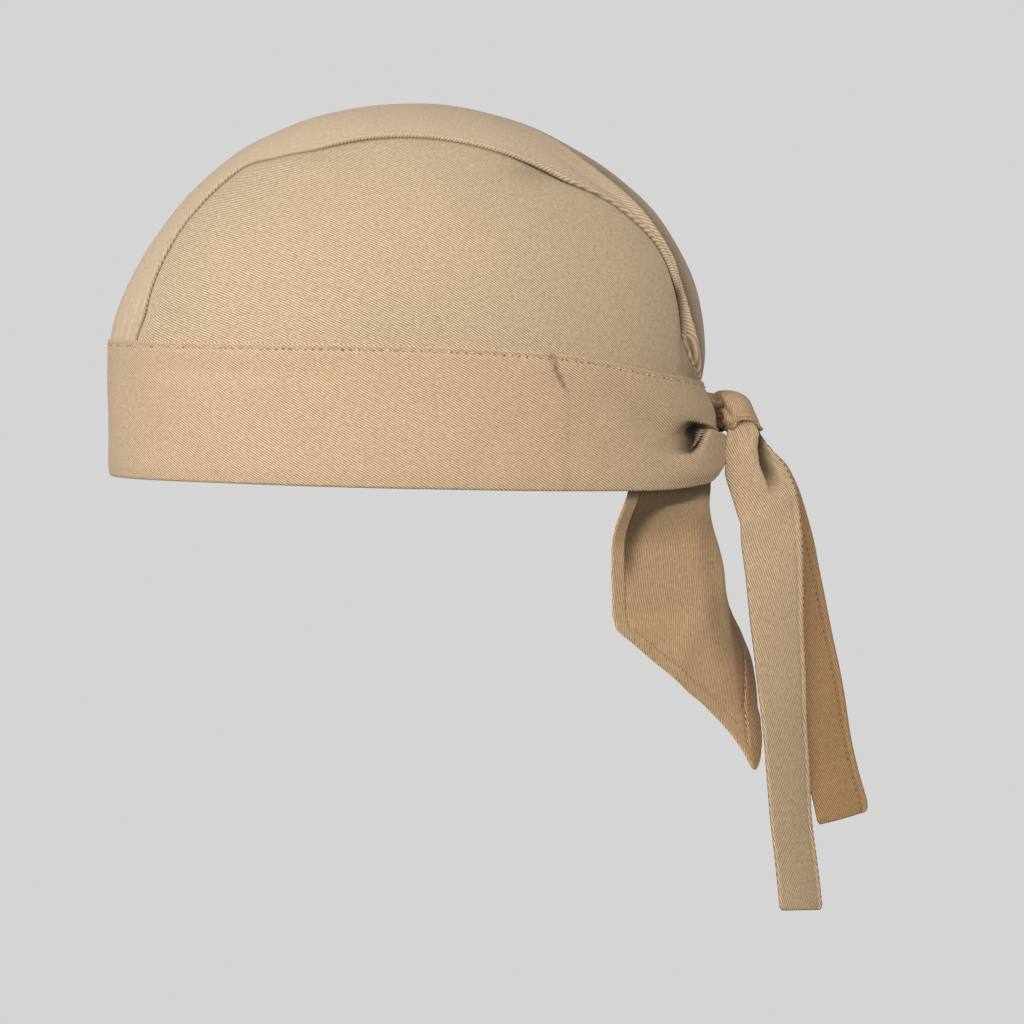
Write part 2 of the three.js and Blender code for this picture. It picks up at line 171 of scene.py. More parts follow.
def profiles(names: str, *rows: tuple[float, ...]) -> dict[str, Profile]:
    """Reads a short table.

    Args:
        names: The columns' names, the first for the place along the table.
        rows: The rows, in any order.

    Returns:
        A profile for each column after the first.
    """
    at, *columns = zip(*sorted(rows))
    return {name: Profile(at, column) for name, column in zip(names.split()[1:], columns)}


def ripple(first: Array, second: Array, length: float, turn: float = 0.0) -> Array:
    """Soft uneven waves of about height 1 over a surface.

    Args:
        first: One coordinate, in millimetres.
        second: The other.
        length: The usual length of a wave.
        turn: Shifts the pattern, so that two pieces differ.

    Returns:
        The height at each place.
    """
    k = 2 * math.pi / length
    waves = (
        np.sin(k * (0.94 * first + 0.31 * second) + 1.3 + turn)
        + np.sin(k * (0.52 * first - 0.83 * second) * 1.37 + 4.1 + 2 * turn)
        + np.sin(k * (-0.21 * first + 0.95 * second) * 0.81 + 2.2 + 3 * turn)
        + 0.6 * np.sin(k * (0.73 * first + 0.64 * second) * 2.1 + 0.4 + turn)
    )
    return waves / 3.6


# ---- the head form


@dataclass(frozen=True)
class HeadForm:
    """The form that the crown and the headband are stretched over."""

    centre_y: float = 0.7
    centre_z: float = 44.5
    half_width: float = 77.0
    front_length: float = 99.6
    back_length: float = 100.0
    height: float = 83.7
    lower_depth: float = 60.0
    plan_power: float = 2.1
    side_power: float = 2.0
    forehead_power: float = 1.83
    forehead_reach: float = 95.0
    far_outside: float = 200.0

    def level(self, points: Array) -> Array:
        """Measures how far out points lie.

        Args:
            points: The points.

        Returns:
            A level for each, with 1 on the form's surface.
        """
        x, dy, dz = points[..., 0], points[..., 1] - self.centre_y, points[..., 2] - self.centre_z
        length = np.where(dy < 0, self.front_length, self.back_length)
        depth = np.where(dz < 0, self.lower_depth, self.height)
        power = mix(self.side_power, self.forehead_power, smooth(-dy / self.forehead_reach))
        across = np.abs(x / self.half_width) ** self.plan_power
        along = np.abs(dy / length) ** self.plan_power
        plan = (across + along) ** (1 / self.plan_power)
        return (plan**power + np.abs(dz / depth) ** power) ** (1 / power)

    def normal(self, points: Array) -> Array:
        """Finds the outward directions.

        Args:
            points: Points on the form or near it.

        Returns:
            The direction at each point, of length 1.
        """
        shifts = LEVEL_STEP * np.eye(3)
        slopes = [self.level(points + shift) - self.level(points - shift) for shift in shifts]
        return unit(np.stack(slopes, axis=-1))

    def reach(self, start: Array, direction: Array) -> Array:
        """Finds where lines from inside the form meet its surface.

        Args:
            start: Where the lines start.
            direction: Their directions.

        Returns:
            The points on the surface.
        """
        def at(length: Array) -> Array:
            """The points a length along the lines."""
            return start + direction * length[..., None]

        zero = np.zeros(start.shape[:-1])
        far = zero + self.far_outside
        return at(last_inside(zero, far, lambda length: self.level(at(length)) < 1))

    def crown_point(self, angle: Array, x: Array) -> Array:
        """Finds places of the crown.

        Args:
            angle: Side angles.
            x: Distances from the middle plane.

        Returns:
            The points on the form's surface.
        """
        turned = np.radians(angle)
        start = stack(x, self.centre_y, self.centre_z)
        return self.reach(start, stack(0 * turned, -np.cos(turned), np.sin(turned)))

    def oval(self, angle: Array, side: Array | float) -> tuple[Array, Array]:
        """The widest oval of the form.

        Args:
            angle: Band angles.
            side: 1 for the wearer's left, -1 for the right.

        Returns:
            The points at the angles, and the outward directions there.
        """
        turned = np.radians(angle)
        power = 2 / self.plan_power
        sine = np.abs(np.sin(turned)) ** power
        cosine = np.sign(np.cos(turned)) * np.abs(np.cos(turned)) ** power
        length = np.where(cosine < 0, self.front_length, self.back_length)
        x = side * self.half_width * sine
        points = stack(x, self.centre_y + length * cosine, self.centre_z)
        out = self.normal(points)
        out[..., 2] = 0
        return points, unit(out)

    def band_angle(self, points: Array) -> Array:
        """Finds the band angle of places on the form, the same on both sides.

        Args:
            points: The places.

        Returns:
            Their angles.
        """
        power = self.plan_power / 2
        sine = np.abs(points[..., 0] / self.half_width) ** power
        dy = (points[..., 1] - self.centre_y) / self.back_length
        return np.degrees(np.arctan2(sine, np.sign(dy) * np.abs(dy) ** power))


HEAD = HeadForm()


# ---- cloth meshes


def shell(columns: int, rows: int, place: Place, shading: Shading | None = None,
          laid: Place | None = None) -> bmesh.types.BMesh:
    """Makes a closed wall of cloth: a grid, extruded, with both faces moved into place.

    Args:
        columns: Divisions across.
        rows: Divisions up.
        place: Gives the points for shares across, shares up and the depth, which is 0 on the
            face and 1 on the back, in millimetres.
        shading: Gives how far light is kept off the cloth, from 0 to 1, for shares across,
            shares up and the points.
        laid: Gives the points that the weave follows, where they aren't the cloth's own.

    Returns:
        The mesh, with the cloth's flat coordinates as its UV map, in metres.
    """
    bm = bmesh.new()
    bmesh.ops.create_grid(bm, x_segments=columns, y_segments=rows, size=0.5)
    shares = bm.verts.layers.float_vector.new("shares")
    for vert in bm.verts:
        vert[shares] = (vert.co.x + 0.5, vert.co.y + 0.5, 0.0)
    lifted = bmesh.ops.extrude_face_region(bm, geom=bm.faces[:])
    for vert in (item for item in lifted["geom"] if isinstance(item, bmesh.types.BMVert)):
        vert[shares] = (vert[shares].x, vert[shares].y, 1.0)

    at = np.array([vert[shares] for vert in bm.verts])
    points = place(at[:, 0], at[:, 1], at[:, 2])
    for vert, point in zip(bm.verts, points):
        vert.co = point * MM
    if shading is not None:
        shade = bm.verts.layers.float.new(SHADE)
        for vert, value in zip(bm.verts, shading(at[:, 0], at[:, 1], points)):
            vert[shade] = float(value)

    flat = flat_cloth(columns, rows, laid or place)
    layer = bm.loops.layers.uv.new(FLAT_MAP)
    for face in bm.faces:
        for loop in face.loops:
            share = loop.vert[shares]
            loop[layer].uv = flat[round(share.y * rows), round(share.x * columns)]
    bm.verts.layers.float_vector.remove(shares)
    bmesh.ops.recalc_face_normals(bm, faces=bm.faces[:])
    return bm


def flat_cloth(columns: int, rows: int, place: Place) -> Array:
    """Lays a wall's face out flat, by the lengths along its rows and columns.

    Args:
        columns: Divisions across.
        rows: Divisions up.
        place: Gives the wall's points.

    Returns:
        The flat place of each row's and column's crossing, in metres.
    """
    across, up = np.meshgrid(np.linspace(0, 1, columns + 1), np.linspace(0, 1, rows + 1))
    points = place(across.ravel(), up.ravel(), 0 * up.ravel()).reshape(rows + 1, columns + 1, 3)
    along = np.linalg.norm(np.diff(points, axis=1), axis=2).cumsum(axis=1)
    along = np.concatenate((np.zeros((rows + 1, 1)), along), axis=1)
    upward = np.linalg.norm(np.diff(points, axis=0), axis=2).cumsum(axis=0)
    upward = np.concatenate((np.zeros((1, columns + 1)), upward), axis=0)
    along -= along[:, columns // 2][:, None]
    return np.stack((along, upward), axis=2) * MM


def finish_piece(bm: bmesh.types.BMesh, name: str, material: bpy.types.Material) -> bpy.types.Object:
    """Makes a mesh an object with its material, which rides on the cap's body.

    Args:
        bm: The mesh, which is freed.
        name: The piece's name.
        material: Its finish.

    Returns:
        The object.
    """
    mesh = bpy.data.meshes.new(name)
    for face in bm.faces:
        face.smooth = True
    bm.to_mesh(mesh)
    bm.free()
    mesh.materials.append(material)
    piece = bpy.data.objects.new(name, mesh)
    bpy.context.scene.collection.objects.link(piece)
    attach(piece, BODY)
    LOG.info("%s: %d faces", name, len(mesh.polygons))
    return piece


def rounded(edge: Array, wall: Array | float, depth: Array) -> Array:
    """How far below the cloth's face a vertex lies, with the rim rounded over.

    Args:
        edge: The distance from the nearest edge.
        wall: The cloth's thickness.
        depth: 0 on the face and 1 on the back.

    Returns:
        The distance below the face.
    """
    half = np.asarray(wall) / 2
    near = np.clip(1 - edge / half, 0.0, 1.0)
    round_off = half * (1 - np.sqrt(np.clip(1 - near**2, 0.0, 1.0)))
    return np.where(depth > 0.5, wall - round_off, round_off)


def crowd_ends(share: Array, amount: float) -> Array:
    """Moves shares from 0 to 1 closer to both ends."""
    return share - amount * np.sin(2 * math.pi * share) / (2 * math.pi)


def crowd_twice(share: Array, amount: float, middle: float) -> Array:
    """Moves shares from 0 to 1 closer to one inner place and to both ends.

    Args:
        share: The shares.
        amount: How much they move, below 1.
        middle: The inner place.

    Returns:
        The moved shares.
    """
    def bent(value: Array | float) -> Array:
        """Moves places closer to the inner place."""
        return value - amount * np.sin(4 * math.pi * (value - middle)) / (4 * math.pi)

    return (bent(share) - bent(0.0)) / (bent(1.0) - bent(0.0))


class Cloth:
    """A piece of cloth over shares across it and up it, each from 0 to 1."""

    columns: int
    rows: int

    def place(self, across: Array, up: Array, depth: Array) -> Array:
        """Gives the cloth's points.

        Args:
            across: Shares across.
            up: Shares up.
            depth: 0 on the face and 1 on the back.

        Returns:
            The points, in millimetres.
        """
        raise NotImplementedError

    def shading(self, across: Array, up: Array, points: Array) -> Array:
        """Says how far light is kept off the cloth, as shade painted into its colour.

        Args:
            across: Shares across.
            up: Shares up.
            points: The cloth's points there.

        Returns:
            A share from 0 to 1 for each point.
        """
        raise NotImplementedError

    def laid(self, across: Array, up: Array, depth: Array) -> Array:
        """The points that the weave follows."""
        return self.place(across, up, depth)

    def face(self, across: Array, up: Array) -> Array:
        """The points of the outer face."""
        return self.place(across, up, np.zeros_like(across))

    def wall_mesh(self) -> bmesh.types.BMesh:
        """The cloth's closed wall."""
        return shell(self.columns, self.rows, self.place, self.shading, self.laid)

    def tube_mesh(self) -> bmesh.types.BMesh:
        """The cloth's wall, joined where its two sides meet.

        Returns:
            The mesh.
        """
        bm = self.wall_mesh()
        bmesh.ops.remove_doubles(bm, verts=bm.verts[:], dist=WELD)
        bmesh.ops.recalc_face_normals(bm, faces=bm.faces[:])
        return bm


# ---- materials


class Sock:
    """A shader socket that takes part in Python expressions."""

    def __init__(self, tree: bpy.types.NodeTree, source: bpy.types.NodeSocket) -> None:
        """Wraps a socket.

        Args:
            tree: The node tree.
            source: One of its output sockets.
        """
        self.tree = tree
        self.source = source

    def _math(self, operation: str, *values: Sock | float) -> Sock:
        """Adds a Math node.

        Args:
            operation: What it does.
            values: What it takes.

        Returns:
            Its output.
        """
        node = self.tree.nodes.new("ShaderNodeMath")
        node.operation = operation
        for slot, value in zip(node.inputs, values):
            if isinstance(value, Sock):
                self.tree.links.new(value.source, slot)
            else:
                slot.default_value = value
        return Sock(self.tree, node.outputs[0])

    def __add__(self, other: Sock | float) -> Sock:
        """The sum."""
        return self._math("ADD", self, other)

    def __mul__(self, other: Sock | float) -> Sock:
        """The product."""
        return self._math("MULTIPLY", self, other)

    def __sub__(self, other: Sock | float) -> Sock:
        """The difference."""
        return self._math("SUBTRACT", self, other)

    def wave(self) -> Sock:
        """A wave from 0 to 1 with one period for each whole number."""
        return self._math("SINE", self * (2 * math.pi)) * 0.5 + 0.5

    def between(self, low: float, high: float) -> Sock:
        """0 below low, 1 above high and even in between."""
        return ((self - low) * (1 / (high - low))).clamped()

    def clamped(self) -> Sock:
        """The value held between 0 and 1."""
        return self._math("MINIMUM", self._math("MAXIMUM", self, 0.0), 1.0)


class Shader:
    """A material under construction, with one method that adds any node."""

    def __init__(self, name: str) -> None:
        """Starts a material with its Principled shader.

        Args:
            name: The material's name.
        """
        self.material = bpy.data.materials.new(name)
        self.material.use_nodes = True
        self.tree = self.material.node_tree
        self.surface = self.tree.nodes["Principled BSDF"]

    def node(self, kind: str, settings: dict[str, object] | None = None, output: str | int = 0,
             **inputs: object) -> Sock:
        """Adds a node.

        Args:
            kind: The node's type.
            settings: Its properties, which are set first.
            output: The output to return.
            inputs: Values or links of its sockets, by name with _ for a space.

        Returns:
            The output.
        """
        node = self.tree.nodes.new(kind)
        for key, value in (settings or {}).items():
            setattr(node, key, value)
        for key, value in inputs.items():
            socket = self._input(node, key.replace("_", " "))
            if isinstance(value, Sock):
                self.tree.links.new(value.source, socket)
            else:
                socket.default_value = value
        return Sock(self.tree, node.outputs[output])

    @staticmethod
    def _input(node: bpy.types.Node, name: str) -> bpy.types.NodeSocket:
        """The node's input of that name which is in use."""
        return next(socket for socket in node.inputs if socket.name == name and socket.enabled)

    def blend(self, factor: Sock | float, first: object, second: object, how: str = "MIX") -> Sock:
        """Mixes two colours."""
        settings = {"data_type": "RGBA", "blend_type": how, "clamp_factor": True}
        return self.node("ShaderNodeMix", settings, 2, Factor=factor, A=first, B=second)

    def noise(self, vector: Sock, scale: float, detail: float = 2.0) -> Sock:
        """Noise from about 0.25 to 0.75."""
        return self.node("ShaderNodeTexNoise", Vector=vector, Scale=scale, Detail=detail)

    def paint(self, **inputs: object) -> bpy.types.Material:
        """Sets the Principled shader's sockets.

        Args:
            inputs: Values or links, by name with _ for a space.

        Returns:
            The material.
        """
        for key, value in inputs.items():
            socket = self.surface.inputs[key.replace("_", " ")]
            if isinstance(value, Sock):
                self.tree.links.new(value.source, socket)
            else:
                socket.default_value = value
        return self.material


def linear(red: int, green: int, blue: int) -> tuple[float, float, float, float]:
    """Turns a colour's screen values into scene light.

    Args:
        red: From 0 to 255.
        green: The same.
        blue: The same.

    Returns:
        The colour, opaque.
    """
    def lit(value: int) -> float:
        """Turns one screen value into light."""
        share = value / 255
        return share / 12.92 if share <= 0.04045 else ((share + 0.055) / 1.055) ** 2.4

    return (lit(red), lit(green), lit(blue), 1.0)


@dataclass(frozen=True)
class Twill:
    """Cotton twill: diagonal ribs over the flat cloth, uneven along their length."""

    name: str
    light: tuple[int, int, int]
    dark: tuple[int, int, int]
    lean: float
    bend: float = 0.0
    pitch: float = 0.73
    relief: float = 0.13
    grain: float = 0.5
    patch: float = 0.05
    # The colour that painted shade multiplies the cloth by, where the shade attribute is 1
    deep: tuple[float, float, float, float] = (0.03, 0.018, 0.012, 1.0)

    def material(self) -> bpy.types.Material:
        """Builds the finish from its ribs, thread noise, cloudy patches, painted shade and bump.

        Returns:
            The material.
        """
        shader = Shader(self.name)
        flat = shader.node("ShaderNodeUVMap", {"uv_map": FLAT_MAP})
        across, up = (shader.node("ShaderNodeSeparateXYZ", output=name, Vector=flat) for name in "XY")
        lean = math.radians(self.lean)
        pitch = self.pitch * MM
        wander = shader.noise(flat, 60.0, 1.0) * (1.4 * pitch)
        line = up * math.cos(lean) + across * math.sin(lean) + across * across * self.bend + wander
        along = across * math.cos(lean) - up * math.sin(lean)
        rib = (line * (1 / pitch)).wave()
        thread = shader.node("ShaderNodeCombineXYZ", X=along * (0.45 / pitch),
                             Y=line * (1.0 / pitch), Z=0.0)
        slub = shader.noise(thread, 1.0, 3.0)
        place = shader.node("ShaderNodeTexCoord", None, "Object")
        cloud = shader.noise(place, 28.0, 3.0)
        speck = shader.noise(place, 900.0, 2.0)
        weave = (rib * 0.62 + slub * 0.9 * self.grain + speck * 0.35 - 0.26).clamped()
        colour = shader.blend(weave, linear(*self.dark), linear(*self.light))
        tone = (cloud - 0.5) * (2 * self.patch) + 1.0
        shade = shader.node("ShaderNodeCombineColor", Red=tone, Green=tone, Blue=tone)
        colour = shader.blend(1.0, colour, shade, "MULTIPLY")
        # Painted shade: the mesh's shade attribute darkens the colour towards deep
        painted_shade = shader.node("ShaderNodeAttribute", {"attribute_name": SHADE}, "Fac")
        colour = shader.blend(painted_shade, colour, shader.blend(1.0, colour, self.deep, "MULTIPLY"))
        height = rib * 0.7 + slub * 0.6 + speck * 0.3
        bump = shader.node("ShaderNodeBump", Strength=0.9, Distance=self.relief * MM, Height=height)
        rough = slub * 0.12 + 0.84
        return shader.paint(Base_Color=colour, Roughness=rough, Normal=bump, Sheen_Weight=0.12,
                            Sheen_Roughness=0.5, Specular_IOR_Level=0.18)


@dataclass(frozen=True)
class Thread:
    """Twisted sewing thread."""

    name: str
    light: tuple[int, int, int]
    dark: tuple[int, int, int]

    def material(self) -> bpy.types.Material:
        """Builds the finish: fibres along uneven tones.

        Returns:
            The material.
        """
        shader = Shader(self.name)
        place = shader.node("ShaderNodeTexCoord", None, "Object")
        tone = shader.noise(place, 700.0, 2.0).between(0.35, 0.65)
        fibre = shader.noise(place, 4200.0, 1.0)
        bump = shader.node("ShaderNodeBump", Strength=0.6, Distance=0.05 * MM, Height=fibre)
        colour = shader.blend(tone, linear(*self.dark), linear(*self.light))
        return shader.paint(Base_Color=colour, Roughness=fibre * 0.2 + 0.6, Normal=bump,
                            Sheen_Weight=0.1, Specular_IOR_Level=0.3)


# ---- stitches


@dataclass(frozen=True)
class Stitching:
    """A row of stitches along a line on a cloth face."""

    spacing: float = 2.5
    length: float = 1.9
    width: float = 0.62
    height: float = 0.34
    slant: float = 12.0
    sink: float = 0.0
    samples: int = 1500

    def sew(self, bm: bmesh.types.BMesh, face: Callable[[Array, Array], Array],
            line: Callable[[Array], tuple[Array, Array]]) -> None:
        """Adds the stitches to a mesh.

        Args:
            bm: The mesh that takes them.
            face: The cloth's face, as points for shares across and up.
            line: The seam's shares across and up for shares along it.
        """
        along = np.linspace(0, 1, self.samples)
        path = face(*line(along))
        length = np.concatenate(([0], np.linalg.norm(np.diff(path, axis=0), axis=1).cumsum()))
        count = int(length[-1] / self.spacing)
        middle = (np.arange(count) + 0.5) * length[-1] / count
        share = np.interp(middle, length, along)
        across, up = line(share)
        point = face(across, up)
        tiny = 2e-3
        ahead = face(*line(np.clip(share + tiny, 0, 1))) - face(*line(np.clip(share - tiny, 0, 1)))
        sideways = face(across + tiny, up) - face(across - tiny, up)
        upward = face(across, up + tiny) - face(across, up - tiny)
        normal = unit(np.cross(sideways, upward))
        ahead = unit(ahead - normal * (ahead * normal).sum(axis=1, keepdims=True))
        beside = np.cross(normal, ahead)
        turn = math.radians(self.slant)
        way = ahead * math.cos(turn) + beside * math.sin(turn)
        beside = np.cross(normal, way)
        for at, first, second, third in zip(point, way, beside, normal):
            columns = (first * self.length / 2, second * self.width / 2, third * self.height,
                       at - third * self.sink)
            turn_in = Matrix.Identity(4)
            for number, column in enumerate(columns):
                turn_in.col[number] = Vector((*(column * MM), number // 3))
            bmesh.ops.create_icosphere(bm, subdivisions=1, radius=1.0, matrix=turn_in)


# ---- the crown


@dataclass(frozen=True)
class Band(Cloth):
    """The headband: a folded strip round the head, gathered into a deep fold at both ends."""

    proud: float = 0.9
    wall: float = 2.0
    crowding: float = 1.25
    first_angle: float = 0.2
    tuck_depth: float = 1.3
    tuck_reach: float = 7.0
    tuck_reach_back: float = 12.0
    seam_drop: float = 1.8
    pit_gather: float = 0.1
    pit_from: float = 40.0
    pit_power: float = 2.5
    pit_inset: float = 1.0
    # The painted shade's dark core in the fold's hollow, in the side view
    core_y: float = 96.4
    core_z: float = 17.0
    dart_angle: float = 62.2
    last_angle: float = 179.999
    deepest: float = -10.5
    roll_blend: float = 4.0
    gather_from: float = 40.0
    gather_full: float = 10.0
    lower_reach: float = 3.0
    lower_at_sides: float = 0.5
    lower_at_back: float = 2.4
    columns: int = 420
    rows: int = 92
    table: dict[str, Profile] = field(default_factory=lambda: profiles(
        "angle top bottom fold_at fold_depth steep gentle upper lower",
        (0, 34.6, 3.6, 17.9, 0.6, 0.35, 0.35, 3.0, 6.4),
        (3, 34.8, 3.0, 18.1, 3, 0.4, 0.4, 2.8, 6.1),
        (6, 35.1, 2.3, 18.5, 6, 0.45, 0.5, 2.5, 5.7),
        (9, 35.4, 1.5, 19.1, 8, 0.45, 0.5, 2.1, 5.2),
        (12, 35.7, 0.9, 19.8, 8.5, 0.45, 0.5, 1.8, 4.6),
        (15, 35.9, 0.6, 20.2, 8, 0.5, 0.8, 1.5, 4.0),
        (17.5, 36.1, 0.4, 19.2, 5.5, 1.6, 2.6, 1.3, 3.4),
        (20, 36.4, 0.1, 17.6, 4.0, 3.4, 4.6, 1.1, 2.9),
        (22.5, 36.6, -0.1, 16.8, 3.4, 4.4, 5.2, 0.9, 2.3),
        (25, 37, -0.3, 16.2, 3.0, 5.0, 5.4, 0.7, 1.8),
        (29, 37.4, -0.6, 15.8, 2.8, 5.6, 5.4, 0.5, 1.2),
        (37, 38.9, -0.8, 20, 2.3, 6.4, 6.2, 0.2, 0.5),
        (46, 41, -0.7, 28, 1.1, 6.6, 6.6, 0, 0),
        (60, 44.2, -0.5, 32, 0, 7, 7, 0, 0),
        (90, 47.1, 0.5, 32, 0, 7, 7, 0, 0),
        (130, 48.1, 2.2, 32, 0, 7, 7, 0, 0),
        (180, 49.2, 3.4, 32, 0, 7, 7, 0, 0),
    ))

    # Painted shade of the gathered fold's hollow in the side view, by places along Y; it also sets how
    # far the pit is drawn in
    hollow: dict[str, Profile] = field(default_factory=lambda: profiles(
        "y top bottom dark",
        (80, 14.5, 14.0, 0),
        (84, 15.8, 12.6, 0.07),
        (88.9, 18.0, 11.6, 0.2),
        (91.5, 20.4, 11.2, 0.45),
        (94.8, 21.8, 11.2, 0.9),
        (97.2, 21.5, 13.0, 1),
        (98.8, 20.6, 15.6, 1),
        (99.8, 19.6, 18.0, 1),
        (101, 19.0, 18.7, 0),
    ))

    def hollowed(self, y: Array, z: Array) -> Array:
        """Says how deep the hollow of the gathered fold is in the side view, for its painted shade and
        its pit.

        Args:
            y: Places along Y.
            z: Their heights.

        Returns:
            The depth, from 0 to 1.
        """
        row = {name: profile(y) for name, profile in self.hollow.items()}
        soft = mix(3.0, 1.3, smooth((y - 88) / 9))
        inside = smooth((row["top"] - z) / (0.5 * soft) + 0.5) * smooth((z - row["bottom"]) / soft + 0.5)
        return row["dark"] * inside

    def strip(self, across: Array) -> tuple[Array, Array]:
        """Follows the strip from its end at the knot, by the wearer's left, to the other end.

        Args:
            across: Shares along it.

        Returns:
            The band angles, and the side as the sign of X.
        """
        share = 2 * across - 1
        side = np.where(share < 0, 1.0, -1.0)
        return mix(self.first_angle, self.last_angle, (1 - np.abs(share)) ** self.crowding), side

    def shading(self, across: Array, up: Array, points: Array) -> Array:
        """Painted shade: darkest in the hollow of the gathered fold, then between its lips and in the
        dart.

        Args:
            across: Shares along it.
            up: Shares up it.
            points: The points there.

        Returns:
            How far light is kept off at each, from 0 to 1.
        """
        angle, side = self.strip(across)
        z = points[:, 2]
        oval, out = HEAD.oval(angle, side)
        y = (oval + out * self.offset(angle, z, side)[:, None])[:, 1]
        fold = self.fold(angle, z)
        lips = bell(z - self.table["fold_at"](angle), 0.45) * smooth((16 - angle) / 4)
        lips = 0.85 * lips * smooth((fold - 1.5) / 4)
        deep = smooth((fold - 0.6) / 1.8) * smooth((24 - angle) / 4) * smooth((angle - 9) / 5)
        core = bell(y - self.core_y, 2.4) * bell(z - self.core_z, 3.6) * smooth((21.4 - z) / 0.8)
        hole = np.maximum(self.hollowed(y, z), 0.98 * np.maximum(deep, core))
        return np.maximum(np.maximum(hole, lips), 0.75 * self.dart(angle, z, side))

    def top(self, points: Array) -> Array:
        """The height of the band's top edge at places on the head form."""
        return self.table["top"](HEAD.band_angle(points))

    def fold(self, angle: Array, z: Array) -> Array:
        """Says how deep the gathered end's fold is.

        Args:
            angle: Band angles.
            z: Heights.

        Returns:
            The depths.
        """
        row = {name: self.table[name](angle) for name in ("fold_at", "fold_depth", "steep", "gentle")}
        past = z - row["fold_at"]
        return row["fold_depth"] * bell(past, np.where(past > 0, row["steep"], row["gentle"]))

    def offset(self, angle: Array, z: Array, side: Array) -> Array:
        """Says how far the band's face stands out from the head form's oval.

        Args:
            angle: Band angles.
            z: Heights.
            side: The side, as the sign of X.

        Returns:
            The distances.
        """
        row = {name: profile(angle) for name, profile in self.table.items()}
        top, bottom = row["top"], row["bottom"]
        above = smooth((z - row["fold_at"]) / self.roll_blend + 0.5)
        roll = mix(row["lower"], row["upper"], above)
        fold = self.fold(angle, z)
        back = smooth((self.gather_from - angle) / (self.gather_from - self.gather_full))
        reach = mix(self.tuck_reach, self.tuck_reach_back, back)
        tuck = (roll + self.tuck_depth * back) * smooth((z - top + reach) / reach)
        low = bell(z - bottom, self.lower_reach) * mix(self.lower_at_sides, self.lower_at_back, back)
        shade = 0.45 * bell(z - top + 9.5, 3.2) * smooth((angle - 95) / 18) * smooth((152 - angle) / 14)
        sewn = 0.3 * bell(z - top + self.seam_drop, 0.7)
        soft = 0.28 * ripple(angle * 1.5 * side, z, 34.0, 0.7) * (1 - back)
        return self.proud + roll - fold - tuck - low - shade - sewn - self.dart(angle, z, side) + soft

    def dart(self, angle: Array, z: Array, side: Array) -> Array:
        """Says how deep the short dart is, below the seam on the wearer's left.

        Args:
            angle: Band angles.
            z: Heights.
            side: The side, as the sign of X.

        Returns:
            The depths.
        """
        top = self.table["top"](angle)
        down = np.clip((top - z - 1) / 12, 0, 1)
        centre = self.dart_angle - 3.4 * down**1.6
        return 0.75 * bell(angle - centre, 0.5) * smooth((1.1 - down) / 0.4) * (side > 0)

    def place(self, across: Array, up: Array, depth: Array) -> Array:
        """The strip, gathered at both ends.

        Args:
            across: Shares along it.
            up: Shares up it.
            depth: 0 on the face and 1 on the back.

        Returns:
            The points, in millimetres.
        """
        angle, side = self.strip(across)
        top, bottom = self.table["top"](angle), self.table["bottom"](angle)
        z = mix(bottom, top, self.crowded(up))
        edge = np.minimum(z - bottom, 1.4 * (top - z))
        oval, out = HEAD.oval(angle, side)
        below = rounded(edge, self.wall, depth)
        lip = smooth((z - top + 5) / 3)
        below = np.where(depth > 0.5, mix(below, np.minimum(below, 0.8), lip), below)
        offset = self.offset(angle, z, side)
        inner = np.maximum(offset - below, self.deepest)
        points = oval + out * np.where(depth > 0.5, inner, offset - below)[..., None]
        points[..., 2] = z
        face_y = (oval + out * offset[..., None])[..., 1]
        pit = self.hollowed(face_y + self.pit_inset, z) ** self.pit_power
        points[..., 0] *= 1 - self.pit_gather * pit * smooth((self.pit_from - angle) / 8)
        return points

    def laid(self, across: Array, up: Array, depth: Array) -> Array:
        """The strip before it is gathered, which the weave follows.

        Args:
            across: Shares along it.
            up: Shares up it.
            depth: 0 on the face and 1 on the back.

        Returns:
            The points, in millimetres.
        """
        angle, side = self.strip(across)
        points, _ = HEAD.oval(angle, side)
        bottom, top = self.table["bottom"](angle), self.table["top"](angle)
        points[..., 2] = mix(bottom, top, self.crowded(up))
        return points

    @staticmethod
    def crowded(up: Array) -> Array:
        """Shares up the band, closer together at its edges and at its fold."""
        return crowd_twice(up, 0.6, 0.47)

    def seam_share(self, across: Array) -> Array:
        """Finds how far up the band its top seam is sewn.

        Args:
            across: Shares along the band.

        Returns:
            The share up at each.
        """
        angle, _ = self.strip(across)
        wanted = 1 - self.seam_drop / (self.table["top"](angle) - self.table["bottom"](angle))
        return last_inside(0 * wanted, 0 * wanted + 1, lambda up: self.crowded(up) < wanted)

    def build(self, cloth: Twill, thread: Thread) -> bpy.types.Object:
        """Makes the band and the stitches along its top edge.

        Args:
            cloth: The band's finish.
            thread: The stitches' finish.

        Returns:
            The band.
        """
        piece = finish_piece(self.wall_mesh(), "headband_cloth", cloth.material())
        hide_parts("headband")
        bm = bmesh.new()

        def seam(along: Array) -> tuple[Array, Array]:
            """The line of the top seam."""
            across = mix(0.004, 0.996, along)
            return across, self.seam_share(across)

        Stitching(width=0.75, height=0.4, sink=0.05).sew(bm, self.face, seam)
        stitches = finish_piece(bm, "headband_stitches", thread.material())
        return piece


